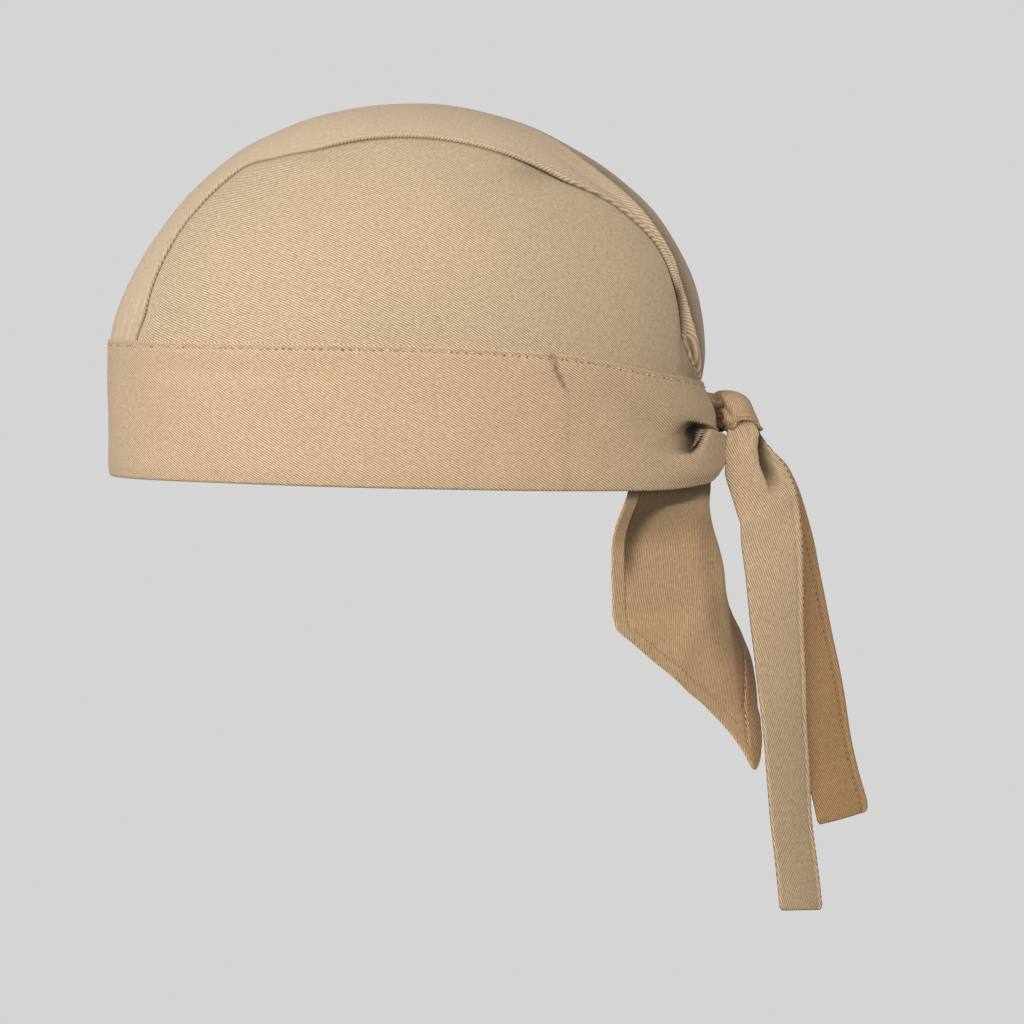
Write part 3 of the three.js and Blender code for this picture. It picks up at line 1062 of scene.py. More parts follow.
@dataclass(frozen=True)
class Crown:
    """The three crown panels over the head form, with welted seams and a pleat at the back."""

    band: Band
    wall: float = 1.2
    gap: float = 0.2
    lap: float = 3.0
    welt_width: float = 1.9
    welt_height: float = 0.85
    welt_rib: float = 1.5
    side_depth: float = 40.0
    rows: int = 300
    centre_columns: int = 112
    side_rows: int = 96
    seam: Profile = Profile(
        (0, 8, 17, 32, 48, 57, 68, 90, 113, 131, 146, 158, 168, 176, 181, 186),
        (35.5, 38, 36, 32, 29.5, 36, 40.2, 40.4, 41.4, 41, 34, 29.6, 31.4, 33, 28.6, 19),
    )
    seam_turn: float = 92.0
    pleat: dict[str, Profile] = field(default_factory=lambda: profiles(
        "angle ridge_at ridge valley step",
        (112, 6, 0, 0, 0),
        (124, 15, 0.5, 0.1, 0.7),
        (130, 20.5, 0.8, 0.2, 1.3),
        (135, 22.8, 0.9, 0.3, 1.8),
        (142, 24.4, 1.1, 0.5, 2.3),
        (150, 25, 1.5, 0.6, 2.7),
        (160, 25.4, 1.7, 0.9, 2.9),
        (164, 27, 1.8, 1.2, 3),
        (168, 27.8, 2, 1.6, 3),
        (172, 27.8, 1.9, 2, 3),
        (176, 26.2, 1.8, 2.8, 2.8),
        (180, 22.4, 1.5, 3, 2.4),
        (184, 17, 1, 2, 1.6),
        (188, 10, 0.6, 1, 1),
    ))
    outline: Profile = Profile(
        (0, 4, 12, 21, 33, 49.5, 75, 100, 115, 127, 142, 153, 170, 186),
        (0.3, 0.2, -0.4, -1.1, -0.45, 0.15, -0.35, -0.1, -0.35, -0.6, 0, 0.5, 0.3, 0),
    )
    # Creases above the forehead: X at the start, slope with the side angle, reach
    creases: tuple[tuple[float, float, float], ...] = (
        (31.5, 0.1, 1.2),
        (26.5, -0.05, 1.4),
        (20, 0.12, 1.5),
    )
    # Puffs and dents of a side panel: y, z, reach along y, reach along z, lift
    dents: tuple[tuple[float, float, float, float, float], ...] = (
        (-34, 106, 13, 4, 0.9),
        (45, 103, 12, 7, -0.7),
        (-79, 57, 6, 3, -0.8),
    )

    def foot(self, share: Array, above: float, below: float) -> Array:
        """Finds where lines along the crown meet the band's top edge.

        Args:
            share: The lines, as shares of the seam's width.
            above: A side angle above the edge.
            below: One below it.

        Returns:
            The side angles of the meeting places.
        """
        kinds, inverse = np.unique(np.round(share, 9), return_inverse=True)

        def over(angle: Array) -> Array:
            """Whether points are above the edge, with the lap."""
            point = HEAD.crown_point(angle, kinds * self.seam(angle))
            return point[..., 2] > self.band.top(point) - self.lap

        return last_inside(0 * kinds + above, 0 * kinds + below, over)[inverse]

    def angle(self, share: Array, along: Array) -> Array:
        """The side angle at shares of the seam's width and of the way from forehead to back."""
        return mix(self.foot(share, 40, -30), self.foot(share, 140, 208), along)

    def welt(self, inward: Array, along: Array) -> Array:
        """Says how high the rolled welt stands, ribbed as a cord is.

        Args:
            inward: Distances in from the seam.
            along: Lengths along it.

        Returns:
            The heights.
        """
        bulge = np.sqrt(np.clip(1 - (inward / self.welt_width * 2 - 1) ** 2, 0, 1))
        rib = 0.5 + 0.5 * np.sin(2 * math.pi * (along + 2.2 * inward) / self.welt_rib)
        return self.welt_height * bulge * (0.8 + 0.2 * rib)

    def centre_line(self, across: Array, up: Array) -> tuple[Array, Array, Array, Array]:
        """Finds where places of the centre panel lie.

        Args:
            across: Shares across the panel.
            up: Shares along it, from the forehead to the back.

        Returns:
            The share of the half width, the side angle, the half width there and X.
        """
        wide = 2 * across - 1
        spread = np.interp(np.abs(wide), (0, 0.22, 0.42, 0.7, 1), (0, 0.40, 0.66, 0.90, 1))
        share = np.sign(wide) * spread
        angle = self.angle(np.abs(share), up)
        width = self.seam(angle)
        return share, angle, width, share * (width - self.gap / 2)

    def centre_laid(self, across: Array, up: Array, depth: Array) -> Array:
        """The centre panel without its welts and pleat, which the weave follows."""
        _, angle, _, x = self.centre_line(across, up)
        return HEAD.crown_point(angle, x)

    def centre_shading(self, across: Array, up: Array, points: Array) -> Array:
        """Painted shade: darkest beyond the pleat's ridge and in its valley, with a line along the seam.

        Args:
            across: Shares across the panel.
            up: Shares along it, from the forehead to the back.
            points: The points there.

        Returns:
            How far light is kept off at each, from 0 to 1.
        """
        share, angle, width, x = self.centre_line(across, up)
        inward = (1 - np.abs(share)) * width
        ridge_at, step = self.pleat["ridge_at"](angle), self.pleat["step"](angle)
        past = ridge_at - np.abs(x)
        beyond = 0.95 * np.clip(step / 2, 0, 1) * smooth(past / 0.7)
        beyond = beyond * np.exp(-np.maximum(past, 0) / 9)
        valley_at = mix(ridge_at, width, 0.5)
        valley = 0.75 * bell(np.abs(x) - valley_at, 1.4) * smooth((angle - 174) / 6)
        seam = 0.3 * bell(inward, 0.35) + 0.5 * self.seam_gap_shade(angle) * bell(inward, 0.8)
        return np.maximum(np.maximum(beyond, valley), seam)

    @staticmethod
    def seam_gap_shade(angle: Array) -> Array:
        """How strongly the seam's gap is painted dark, by side angles: a short way above the band at the
        back.
        """
        return smooth((angle - 164) / 4) * smooth((178 - angle) / 3)

    def centre_place(self, across: Array, up: Array, depth: Array) -> Array:
        """The centre panel, from the forehead over the top to the back.

        Args:
            across: Shares across the panel.
            up: Shares along it, from the forehead to the back.
            depth: 0 on the face and 1 on the back.

        Returns:
            The points, in millimetres.
        """
        share, angle, width, x = self.centre_line(across, up)
        point = HEAD.crown_point(angle, x)
        inward = (1 - np.abs(share)) * width
        ridge_at, ridge, valley, step = (
            self.pleat[name](angle) for name in ("ridge_at", "ridge", "valley", "step"))
        valley_at = mix(ridge_at, width, 0.5)
        past = ridge_at - np.abs(x)
        lift = ridge * bell(past, np.where(past > 0, 12.0, 3.5))
        lift = lift - valley * bell(np.abs(x) - valley_at, 1.8) * smooth(inward / 2.4)
        lift = lift - step * smooth(past / 0.9) * np.exp(-np.maximum(past, 0) / 10)
        lift = lift + self.outline(angle) * (1 - share**2)
        lift = lift + self.welt(inward, np.radians(angle) * self.seam_turn)
        near = 0.4 * smooth((17 - angle) / 12) * smooth((angle + 3) / 4) * (x > 0)
        for at, slope, reach in self.creases:
            lift = lift - near * bell(np.abs(x) - at - slope * angle, reach)
        lift = lift + 0.22 * ripple(x, angle * 1.6, 30.0, 2.0) * smooth(inward / 6)
        below = np.where(depth > 0.5, self.wall, 0.0)
        return point + HEAD.normal(point) * (lift - below)[..., None]

    def side_shading(self, across: Array, up: Array, points: Array) -> Array:
        """Painted shade: darkest along the welt and in the seam's gap a short way above the band at the
        back, with a soft patch in a dent.

        Args:
            across: Shares along the seam.
            up: Shares up to it.
            points: The panel's points there.

        Returns:
            How far light is kept off, from 0 to 1.
        """
        kinds, inverse = np.unique(np.round(across, 9), return_inverse=True)
        angle = self.angle(0 * kinds + 1, kinds)[inverse]
        from_seam = (1 - up) * self.side_depth
        y, z = points[:, 1], points[:, 2]
        dent = 0.2 * bell(y - 44, 8) * bell(z - 104, 4)
        gap = 0.45 * self.seam_gap_shade(angle) * bell(from_seam, 1.1)
        return np.maximum(0.5 * bell(from_seam, 0.5) + gap, dent)

    def side_place(self, side: Side) -> Place:
        """Shapes a side panel of ribs across the head, from the band up to the seam.

        Args:
            side: The panel's side.

        Returns:
            The function that gives its points.
        """
        def place(across: Array, up: Array, depth: Array) -> Array:
            """Follows the panel's ribs and lifts its puffs and its seam's edge.

            Args:
                across: Shares along the seam.
                up: Shares from the band up to the seam.
                depth: 0 on the face and 1 on the back.

            Returns:
                The points, in millimetres.
            """
            kinds, inverse = np.unique(np.round(across, 9), return_inverse=True)
            angle = self.angle(0 * kinds + 1, kinds)
            seam = HEAD.crown_point(angle, self.seam(angle) + self.gap / 2)
            start = stack(0.0, seam[:, 1], HEAD.centre_z)
            turn = np.arctan2(seam[:, 2] - HEAD.centre_z, seam[:, 0])

            def on_rib(at: Array, begin: Array) -> Array:
                """The form's points in directions from inside it."""
                return HEAD.reach(begin, stack(np.cos(at), 0 * at, np.sin(at)))

            def over(at: Array) -> Array:
                """Whether points are above the band's edge, with the lap."""
                point = on_rib(at, start)
                return point[..., 2] > self.band.top(point) - self.lap

            foot = last_inside(turn, 0 * turn - 0.7, over)
            at = mix(foot[inverse], turn[inverse], up)
            point = on_rib(at, start[inverse])
            lift = 0 * up
            for y, z, reach_y, reach_z, height in self.dents:
                dent = bell(point[:, 1] - y, reach_y) * bell(point[:, 2] - z, reach_z)
                lift = lift + height * dent
            lift = lift + 0.3 * ripple(point[:, 1] * side.value, point[:, 2], 46.0, 0.2)
            from_seam = (1 - up) * self.side_depth
            late = smooth((across - 0.965) / 0.03)
            lift = lift + 1.3 * late * bell(from_seam, 8)
            lift = lift - 0.35 * bell(from_seam, 1.2) * (1 - late)
            below = np.where(depth > 0.5, self.wall, 0.0)
            point = point + HEAD.normal(point) * (lift - below)[..., None]
            point[:, 0] *= side.value
            return point

        return place

    def build(self, cloth: Twill, centre_cloth: Twill) -> list[bpy.types.Object]:
        """Makes the three panels.

        Args:
            cloth: The side panels' finish.
            centre_cloth: The centre panel's finish.

        Returns:
            The panels.
        """
        bm = shell(self.centre_columns, self.rows, self.centre_place, self.centre_shading,
                   self.centre_laid)
        centre = finish_piece(bm, "centre_panel_cloth", centre_cloth.material())
        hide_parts("centre_panel")
        pieces = [centre]
        material = cloth.material()
        for side in Side:
            label = side.name.lower()
            bm = shell(self.rows, self.side_rows, self.side_place(side), self.side_shading)
            piece = finish_piece(bm, f"side_panel_{label}_cloth", material)
            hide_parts(f"side_panel_{label}")
            pieces.append(piece)
        return pieces


# ---- the tie


@dataclass(frozen=True)
class Knot(Cloth):
    """The knot's wrap: a turn of the tie over the tails, open below, with a stitched lower edge.

    Its shares across run round it, and its shares up run from its crown down to its rim.
    """

    top: float = 31.9
    cap_share: float = 0.42
    cap_drop: float = 3.8
    cap_power: float = 3.0
    power: float = 2.4
    wall: float = 1.3
    hem: float = 2.0
    length: float = 22.0
    columns: int = 168
    rows: int = 72
    table: dict[str, Profile] = field(default_factory=lambda: profiles(
        "z left right half_x",
        (31.9, 103.0, 112.0, 6.8),
        (30.4, 102.9, 114.0, 7.6),
        (28.5, 103.1, 115.6, 8.0),
        (24.7, 104.3, 117.3, 8.5),
        (22.0, 105.0, 118.5, 8.6),
        (20.0, 106.1, 119.2, 8.4),
        (18.0, 107.6, 119.7, 8.0),
    ))

    def rim(self, turned: Array) -> Array:
        """The lower edge's height round the wrap: it arches over the tails on both flanks."""
        along = np.sin(turned)
        return 18.0 + 3.8 * smooth((along + 0.75) / 0.9) * smooth((1.05 - along) / 0.5)

    def place(self, across: Array, up: Array, depth: Array) -> Array:
        """The wrap, rounded over at its crown.

        Args:
            across: Shares round it.
            up: Shares from its crown down to its rim.
            depth: 0 on the face and 1 on the back.

        Returns:
            The points, in millimetres.
        """
        turned = across * 2 * math.pi
        cap = np.clip(up / self.cap_share, 0, 1) * math.pi / 2
        wide = np.sin(cap) ** (2 / self.cap_power)
        high = np.cos(cap) ** (2 / self.cap_power)
        side = np.clip((up - self.cap_share) / (1 - self.cap_share), 0, 1)
        shoulder = self.top - self.cap_drop
        z = self.top - self.cap_drop * (1 - high) + (self.rim(turned) - shoulder) * side
        left, right, half_x = (self.table[name](z) for name in ("left", "right", "half_x"))
        cosine, sine = np.cos(turned), np.sin(turned)
        size = (np.abs(cosine) ** self.power + np.abs(sine) ** self.power) ** (1 / self.power)
        to_rim = (1 - up) * self.length
        hem = 0.3 * smooth((self.hem - to_rim) / 0.5) - 0.4 * bell(to_rim - self.hem - 0.3, 0.4)
        toward = (sine / size + 0.62 + (z - 26) * 0.045) * 6.5
        fold = 1.5 * bell(toward, np.where(toward > 0, 1.5, 0.7))
        fold = fold * smooth((z - 20.5) / 5) * smooth((cosine + 0.1) / 0.4)
        out = hem - fold * smooth(up / 0.25) - rounded(to_rim, self.wall, depth)
        x = cosine / size * (half_x * wide + out)
        y = (left + right) / 2 + sine / size * ((right - left) / 2 * wide + out)
        sunk = np.where(depth > 0.5, self.wall, 0) * smooth(high)
        return stack(x, y, z - sunk)

    def shading(self, across: Array, up: Array, points: Array) -> Array:
        """Painted shade: darkest on the side of the band and in the fold's valley.

        Args:
            across: Shares round it.
            up: Shares from its crown down to its rim.
            points: The points there.

        Returns:
            How far light is kept off at each, from 0 to 1.
        """
        y, z = points[:, 1], points[:, 2]
        left = self.table["left"](z)
        valley = bell(y - left - 1.7, 0.8) * smooth((z - 21.5) / 3) * smooth((31.5 - z) / 2)
        return np.maximum(0.42 * smooth((left + 4.2 - y) / 4.5), 0.6 * valley)

    def build(self, cloth: Twill, thread: Thread) -> bpy.types.Object:
        """Makes the wrap and the stitches along its lower edge.

        Args:
            cloth: The wrap's finish.
            thread: The stitches' finish.

        Returns:
            The wrap.
        """
        piece = finish_piece(self.tube_mesh(), "knot_wrap", cloth.material())
        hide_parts("knot")
        bm = bmesh.new()

        def hem(along: Array) -> tuple[Array, Array]:
            """The line of the stitches round the rim."""
            return mix(-0.09, 0.59, along), 0 * along + 1 - 0.5 * self.hem / self.length

        stitching = Stitching(spacing=1.25, length=1.2, width=0.55, height=0.4, slant=62)
        stitching.sew(bm, self.face, hem)
        stitches = finish_piece(bm, "knot_stitches", thread.material())
        return piece


@dataclass(frozen=True)
class TieRoot(Cloth):
    """The band's ends drawn together: a gathered tube of cloth that runs into the knot.

    Its shares across run round it, and its shares up run from inside the band into the knot.
    """

    start: float = 96.0
    end: float = 107.0
    height: float = 26.4
    fall: float = 2.4
    half_z: float = 5.9
    half_x: float = 6.6
    pleats: int = 9
    pleat_depth: float = 0.55
    wall: float = 1.0
    columns: int = 144
    rows: int = 16

    def place(self, across: Array, up: Array, depth: Array) -> Array:
        """The tube, pleated along its length.

        Args:
            across: Shares round it.
            up: Shares from the band to the knot.
            depth: 0 on the face and 1 on the back.

        Returns:
            The points, in millimetres.
        """
        turned = across * 2 * math.pi
        ribs = np.cos(self.pleats * turned + 1.6 * up) + 0.4 * np.cos(2.3 * self.pleats * turned)
        ribs = ribs * smooth(1.2 * (1 - np.abs(np.sin(turned * 0.5)) ** 40))
        waist = 1 - 0.03 * np.sin(math.pi * up)
        end = np.minimum(up, 1 - up) * (self.end - self.start)
        out = self.pleat_depth * ribs - rounded(end, self.wall, depth)
        x = np.cos(turned) * (self.half_x * waist + out)
        z = self.height - self.fall * up + np.sin(turned) * (self.half_z * waist + out)
        return stack(x, mix(self.start, self.end, up), z)

    def shading(self, across: Array, up: Array, points: Array) -> Array:
        """Painted shade over the whole tube, darkest low in the gap between the band and the knot."""
        return 0.3 + 0.55 * smooth((29.0 - points[:, 2]) / 3)

    def build(self, cloth: Twill) -> bpy.types.Object:
        """Makes the tube.

        Args:
            cloth: Its finish.

        Returns:
            The tube.
        """
        piece = finish_piece(self.tube_mesh(), "tie_root", cloth.material())
        return piece


@dataclass(frozen=True)
class Tail(Cloth):
    """A tie tail: a stitched strip that hangs from the knot."""

    name: str
    table: dict[str, Profile]
    top: float
    end: float
    flat: tuple[float, float]
    wall: float = 1.4
    bow: float = 0.8
    groove: float = 0.0
    stitch_at: float = 0.9
    end_slant: float = 0.0
    columns: int = 56
    rows: int = 260

    def middle(self, z: Array) -> Array:
        """The middle line at heights."""
        return stack(self.table["x"](z), self.table["y"](z), z)

    @staticmethod
    def pleated(z: Array) -> Array:
        """How much of the pleat is left at heights: it fades down the tail."""
        return smooth((z + 6) / 10) * smooth((25 - z) / 5)

    @staticmethod
    def valley(past: Array) -> Array:
        """The pleat's valley across the tail: steep on the side of the front fold."""
        return smooth(past / 0.07 + 0.5) * (1 - smooth((past - 0.12) / 0.4))

    def spot(self, across: Array, up: Array) -> tuple[Array, Array]:
        """The shares of the half width and the heights of places on the strip."""
        return 2 * crowd_ends(across, 0.6) - 1, mix(self.end, self.top, crowd_ends(up, 0.5))

    def shading(self, across: Array, up: Array, points: Array) -> Array:
        """Painted shade: darkest in the pleat's valley and under the knot.

        Args:
            across: Shares across it.
            up: Shares from its end up to the knot.
            points: The points there.

        Returns:
            How far light is kept off at each, from 0 to 1.
        """
        share, z = self.spot(across, up)
        valley = self.valley(share - self.table["pleat_at"](z)) * self.pleated(z)
        return np.maximum(0.8 * valley * min(self.groove / 4, 1.0), 0.7 * smooth((z - 20.4) / 1.5))

    def place(self, across: Array, up: Array, depth: Array) -> Array:
        """The strip, square to its middle line, with its hem and pleat.

        Args:
            across: Shares across it.
            up: Shares from its end up to the knot.
            depth: 0 on the face and 1 on the back.

        Returns:
            The points, in millimetres.
        """
        share, z = self.spot(across, up)
        turned = np.radians(self.table["turn"](z))
        below, above = np.maximum(z - 1, self.end), np.minimum(z + 1, self.top)
        down = unit(self.middle(below) - self.middle(above))
        width = stack(-np.sin(turned), np.cos(turned), 0 * turned)
        width = unit(width - down * (width * down).sum(axis=-1, keepdims=True))
        facing = unit(np.cross(down, width))
        half = self.table["width"](z) / 2
        corner = 1 - 0.09 * bell(z - self.end, 0.9)
        edge = np.minimum((1 - np.abs(share)) * half, np.abs(z - self.end))
        inward = (1 - share) * half
        hem = 0.25 * bell(inward - 1.3, 0.7) - 0.3 * bell(inward - 2.6, 0.5)
        past = share - self.table["pleat_at"](z)
        deep = self.groove * self.pleated(z)
        fold = deep * (0.25 * bell(past + 0.3, 0.3) - self.valley(past))
        z_end = self.end_slant * share * smooth((self.end + 14 - z) / 14)
        wave = 0.35 * ripple(share * half, z, 38.0, self.flat[1] * 9)
        lift = self.bow * (1 - share**2) + hem + fold + wave - rounded(edge, self.wall, depth)
        point = self.middle(z) + width * (share * half * corner)[..., None]
        point = point + facing * lift[..., None]
        point[..., 2] += z_end
        return point

    def build(self, cloth: Twill, thread: Thread, slot: Slot) -> bpy.types.Object:
        """Makes the strip and the stitches along its hem.

        Args:
            cloth: The strip's finish.
            thread: The stitches' finish.
            slot: The record's material slot; not used.

        Returns:
            The strip.
        """
        piece = finish_piece(self.wall_mesh(), f"{self.name}_cloth", cloth.material())
        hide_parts(self.name)
        bm = bmesh.new()

        def hem(along: Array) -> tuple[Array, Array]:
            """The line of the stitches along the hem."""
            return 0 * along + self.stitch_at, mix(0.012, 0.9, along)

        stitching = Stitching(spacing=2.2, length=1.3, width=0.42, height=0.16, slant=0)
        stitching.sew(bm, self.face, hem)
        stitches = finish_piece(bm, f"{self.name}_stitches", thread.material())
        return piece


LONG_TAIL = Tail(
    name="tie_tail_long",
    table=profiles(
        "z x y width turn pleat_at",
        (27, 2.6, 111, 7, 10, 0.9),
        (21, 5.2, 112.4, 9, 12, 0.9),
        (17.6, 5.8, 113.4, 12.2, 12, 0.84),
        (14.5, 5.7, 113.9, 14.4, 12, 0.66),
        (11.6, 5.6, 114.5, 15.6, 12, 0.5),
        (9, 5.4, 115.4, 17.4, 11, 0.38),
        (6.5, 5.2, 116.2, 19.2, 10, 0.3),
        (0.5, 4.6, 119.2, 21.4, 9, 0.2),
        (-4.9, 4.1, 121.2, 21.9, 10, 0.15),
        (-11.6, 3.6, 122.8, 22, 18.7, 0.1),
        (-18, 3.4, 123.25, 22, 17.1, 0.1),
        (-29.4, 3, 124.26, 22, 26.1, 0.1),
        (-44.8, 2.6, 125.07, 22, 32.9, 0.1),
        (-58, 2.3, 126.33, 22, 39.1, 0.1),
        (-72, 2, 127.33, 22, 43.3, 0.1),
        (-90, 1.7, 128.64, 22, 47.3, 0.1),
        (-107, 1.4, 129.72, 22, 48.3, 0.1),
        (-125, 1.2, 131.64, 22, 50.1, 0.1),
        (-143, 1, 133.55, 22, 46.8, 0.1),
    ),
    top=27,
    end=-143,
    flat=(0.022, 0.168),
    groove=4.4,
    stitch_at=0.93,
    end_slant=-1.3,
)
SHORT_TAIL = Tail(
    name="tie_tail_short",
    table=profiles(
        "z x y width turn pleat_at",
        (27, -2.6, 111.4, 8, 20, 0),
        (20, -3.4, 113.4, 12, 30, 0),
        (12, -4.4, 114.8, 15, 30, 0),
        (2, -5.6, 121.7, 20, 30, 0),
        (-10, -6.8, 126.06, 22, 32, 0),
        (-20, -8, 129.14, 22, 35, 0),
        (-33, -9.8, 131.7, 22, 36, 0),
        (-53, -12.4, 136.05, 22, 36, 0),
        (-72, -14.8, 139.9, 22, 36, 0),
        (-91, -16.2, 143.2, 22, 36, 0),
        (-111, -17.4, 148.3, 22, 36, 0),
    ),
    top=27,
    end=-113.4,
    flat=(0.022, 0.138),
    stitch_at=0.72,
    end_slant=1.7,
)


# ---- the neck flap


@dataclass(frozen=True)
class NeckFlap(Cloth):
    """The five-cornered flap with a stitched hem, hanging from inside the band."""

    band: Band
    half_width: float = 48.0
    shift: float = 12.5
    top: float = 3.6
    corner: float = -47.0
    tip: float = -95.4
    tip_half_width: float = 3.4
    tip_round: float = 4.0
    crease_round: float = 6.0
    inset: float = 1.0
    hang_from: float = 1.0
    hang_by: float = -20.0
    wall: float = 1.2
    hem: float = 5.4
    lower_slope: float = 0.73
    near_low: float = -72.0
    upper_end: float = -2.5
    columns: int = 132
    rows: int = 150
    table: dict[str, Profile] = field(default_factory=lambda: profiles(
        "z x y near far narrow short",
        (4, 8, 101.5, 36, -10, 1, 1),
        (-4, 7.6, 102, 50, -22, 1, 1),
        (-10, 7.2, 102.8, 50.8, -19, 1, 1),
        (-16, 7, 103.7, 52.1, -24, 1, 1),
        (-22, 6.8, 104.6, 53.9, -22, 1, 1),
        (-30, 6.5, 105.8, 55.7, -15.1, 1, 1),
        (-36, 6, 106.6, 56.2, -6.9, 1, 1),
        (-42, 5.4, 107.2, 56.6, -0.3, 1, 1),
        (-47, 5, 107.6, 54.5, 2.3, 1, 1),
        (-53, 5, 108, 53.3, 8, 0.95, 0.777),
        (-57.6, 5, 108.2, 52.5, 16, 0.89, 0.633),
        (-63.2, 5, 108.3, 51.4, 25, 0.78, 0.596),
        (-68.6, 5, 108.4, 50.3, 32, 0.66, 0.625),
        (-74, 4.8, 108.8, 48.8, 38, 0.47, 0.671),
        (-79.4, 4.4, 110.8, 47.2, 42, 0.355, 0.72),
        (-84.8, 4, 113.6, 45.6, 42, 0.31, 0.728),
        (-90.2, 3.8, 116, 43.9, 36, 0.33, 0.72),
        (-97, 3.5, 118, 42, 28, 0.5, 0.749),
    ))

    # Where the band's painted shadow ends and where the painted shade of the soft fold runs, in the side
    # view
    shadow: dict[str, Profile] = field(default_factory=lambda: profiles(
        "z wedge fold",
        (0, 106, 97.5),
        (-4.6, 96, 98.5),
        (-6.6, 87, 99),
        (-11.7, 80.5, 100),
        (-21.4, 76.5, 101.2),
        (-38.6, 75, 103),
        (-55.4, 74, 106.3),
    ))

    def inside_band(self, arc: Array, z: Array) -> Array:
        """Finds places just inside the band's lower edge.

        Args:
            arc: Lengths round the band from its back, above 0 on the wearer's left.
            z: Heights.

        Returns:
            The points.
        """
        angles = np.linspace(0.001, 70, 400)
        line, _ = HEAD.oval(angles, 1.0)
        length = np.concatenate(([0], np.linalg.norm(np.diff(line, axis=0), axis=1).cumsum()))
        angle = np.interp(np.abs(arc), length, angles)
        side = np.where(arc < 0, -1.0, 1.0)
        points, out = HEAD.oval(angle, side)
        level = np.maximum(z, self.band.table["bottom"](angle))
        lift = self.band.offset(angle, level, side) - self.band.wall - self.inset
        points = points + out * lift[..., None]
        points[..., 2] = z
        return points

    def hanging(self, across: Array, z: Array) -> Array:
        """Hangs the free cloth, turned away on both sides of its middle crease.

        Args:
            across: Lengths across the cloth from the crease.
            z: Heights.

        Returns:
            The points.
        """
        row = {name: profile(z) for name, profile in self.table.items()}
        run = np.sqrt(across**2 + self.crease_round**2) - self.crease_round
        near, far = np.where(across > 0, run, 0), np.where(across < 0, run, 0)
        near_turn, far_turn = np.radians(row["near"]), np.radians(row["far"])
        middle = (near_turn + far_turn) / 2
        straight = across - near + far
        x, y = row["x"], row["y"]
        for length, turn in ((near, near_turn), (-far, far_turn), (straight, middle)):
            x, y = x + length * np.cos(turn), y - length * np.sin(turn)
        return stack(x, y, z)

    def cloth_point(self, share: Array, z: Array) -> Array:
        """Finds the flap's face before its hem and its thickness.

        Args:
            share: Shares of the half width.
            z: Heights.

        Returns:
            The points.
        """
        across = share * self.reach(share, z)
        held = self.inside_band(across + self.shift, z)
        hung = smooth((self.hang_from - z) / (self.hang_from - self.hang_by))
        return mix(held, self.hanging(across, z), hung[..., None])

    def reach(self, share: Array, z: Array) -> Array:
        """The width on the near or the far side of the crease: low down both are narrower."""
        return self.half(z) * np.where(share > 0, self.table["narrow"](z), self.table["short"](z))

    def half(self, z: Array) -> Array:
        """Says how wide the flap is, narrowing to its rounded tip.

        Args:
            z: Heights.

        Returns:
            Half its width at each.
        """
        below = np.clip((self.corner - z) / (self.corner - self.tip), 0, 1)
        blunt = np.clip((z - self.tip) / self.tip_round, 0.0, 1.0)
        tapered = mix(self.half_width, self.tip_half_width, below)
        return tapered * np.sqrt(0.03 + 0.97 * (1 - (1 - blunt) ** 2))

    def place(self, across: Array, up: Array, depth: Array) -> Array:
        """The flap, from its tip (0) by its corners (a half) to its top (1)."""
        lower, upper = mix(self.tip, self.corner, 2 * up), mix(self.corner, self.top, 2 * up - 1)
        return self.at(self.spread(across), np.where(2 * up < 1, lower, upper), depth)

    @staticmethod
    def spread(across: Array) -> Array:
        """Shares of the half width, closer together at both edges."""
        return 2 * crowd_ends(across, 0.35) - 1

    def at(self, share: Array, z: Array, depth: Array) -> Array:
        """Gives the flap's points, with its hem.

        Args:
            share: Shares of the half width.
            z: Heights.
            depth: 0 on the face and 1 on the back.

        Returns:
            The points.
        """
        point = self.cloth_point(share, z)
        tiny = 0.01
        sideways = self.cloth_point(share + tiny, z) - self.cloth_point(share - tiny, z)
        upward = self.cloth_point(share, z + tiny) - self.cloth_point(share, z - tiny)
        out = unit(np.cross(sideways, upward))
        out = out * np.sign(out[..., 1:2])
        slope = np.where(z < self.corner, self.lower_slope, 1.0)
        edge = (1 - np.abs(share)) * self.reach(share, z) * slope
        edge = np.minimum(edge, np.abs(z - self.tip) + 0.2)
        hem = 0.3 * smooth((self.hem - edge) / 0.6) - 0.4 * bell(edge - self.hem - 0.3, 0.5)
        wave = 0.9 * bell(share * self.half(z) + 0.9 * (z + 30), 7.0)
        wave = wave * smooth((z + 75) / 20) * smooth((-4 - z) / 10)
        lift = hem + wave - rounded(edge, self.wall, depth)
        return point + out * lift[..., None]

    def shading(self, across: Array, up: Array, points: Array) -> Array:
        """Painted shade: darkest below the band, and darker along the soft fold.

        Args:
            across: Shares across it.
            up: Shares from its tip up to its top.
            points: The points there.

        Returns:
            How far light is kept off at each, from 0 to 1.
        """
        y, z = points[:, 1], points[:, 2]
        from_edge = (1 - np.abs(self.spread(across))) * self.half(z)
        inner = smooth((from_edge - self.hem + 0.6) / 0.9)
        wedge = smooth((self.shadow["wedge"](z) - y) / 6 + 0.5) * smooth((z + 36) / 14) * inner
        under = smooth((z + 5.5) / 4)
        fold = bell(y - self.shadow["fold"](z), 3.4) * smooth((-6 - z) / 8) * smooth((z + 64) / 14)
        return np.maximum(np.maximum(0.72 * wedge, 0.75 * under), 0.24 * fold)

    def stitches(self, thread: Thread) -> bpy.types.Object:
        """Makes the stitches along the hem's inner line, on both sides and to the tip.

        Args:
            thread: Their finish.

        Returns:
            The stitches.
        """
        bm = bmesh.new()
        lower_hem = self.hem / self.lower_slope
        low = self.tip + lower_hem / self.half_width * (self.corner - self.tip)
        bend = self.corner + 1.5
        stitching = Stitching(spacing=2.2, length=1.3, width=0.42, height=0.14, slant=0)

        def face(share: Array, z: Array) -> Array:
            """The flap's face."""
            return self.at(share, z, np.zeros_like(share))

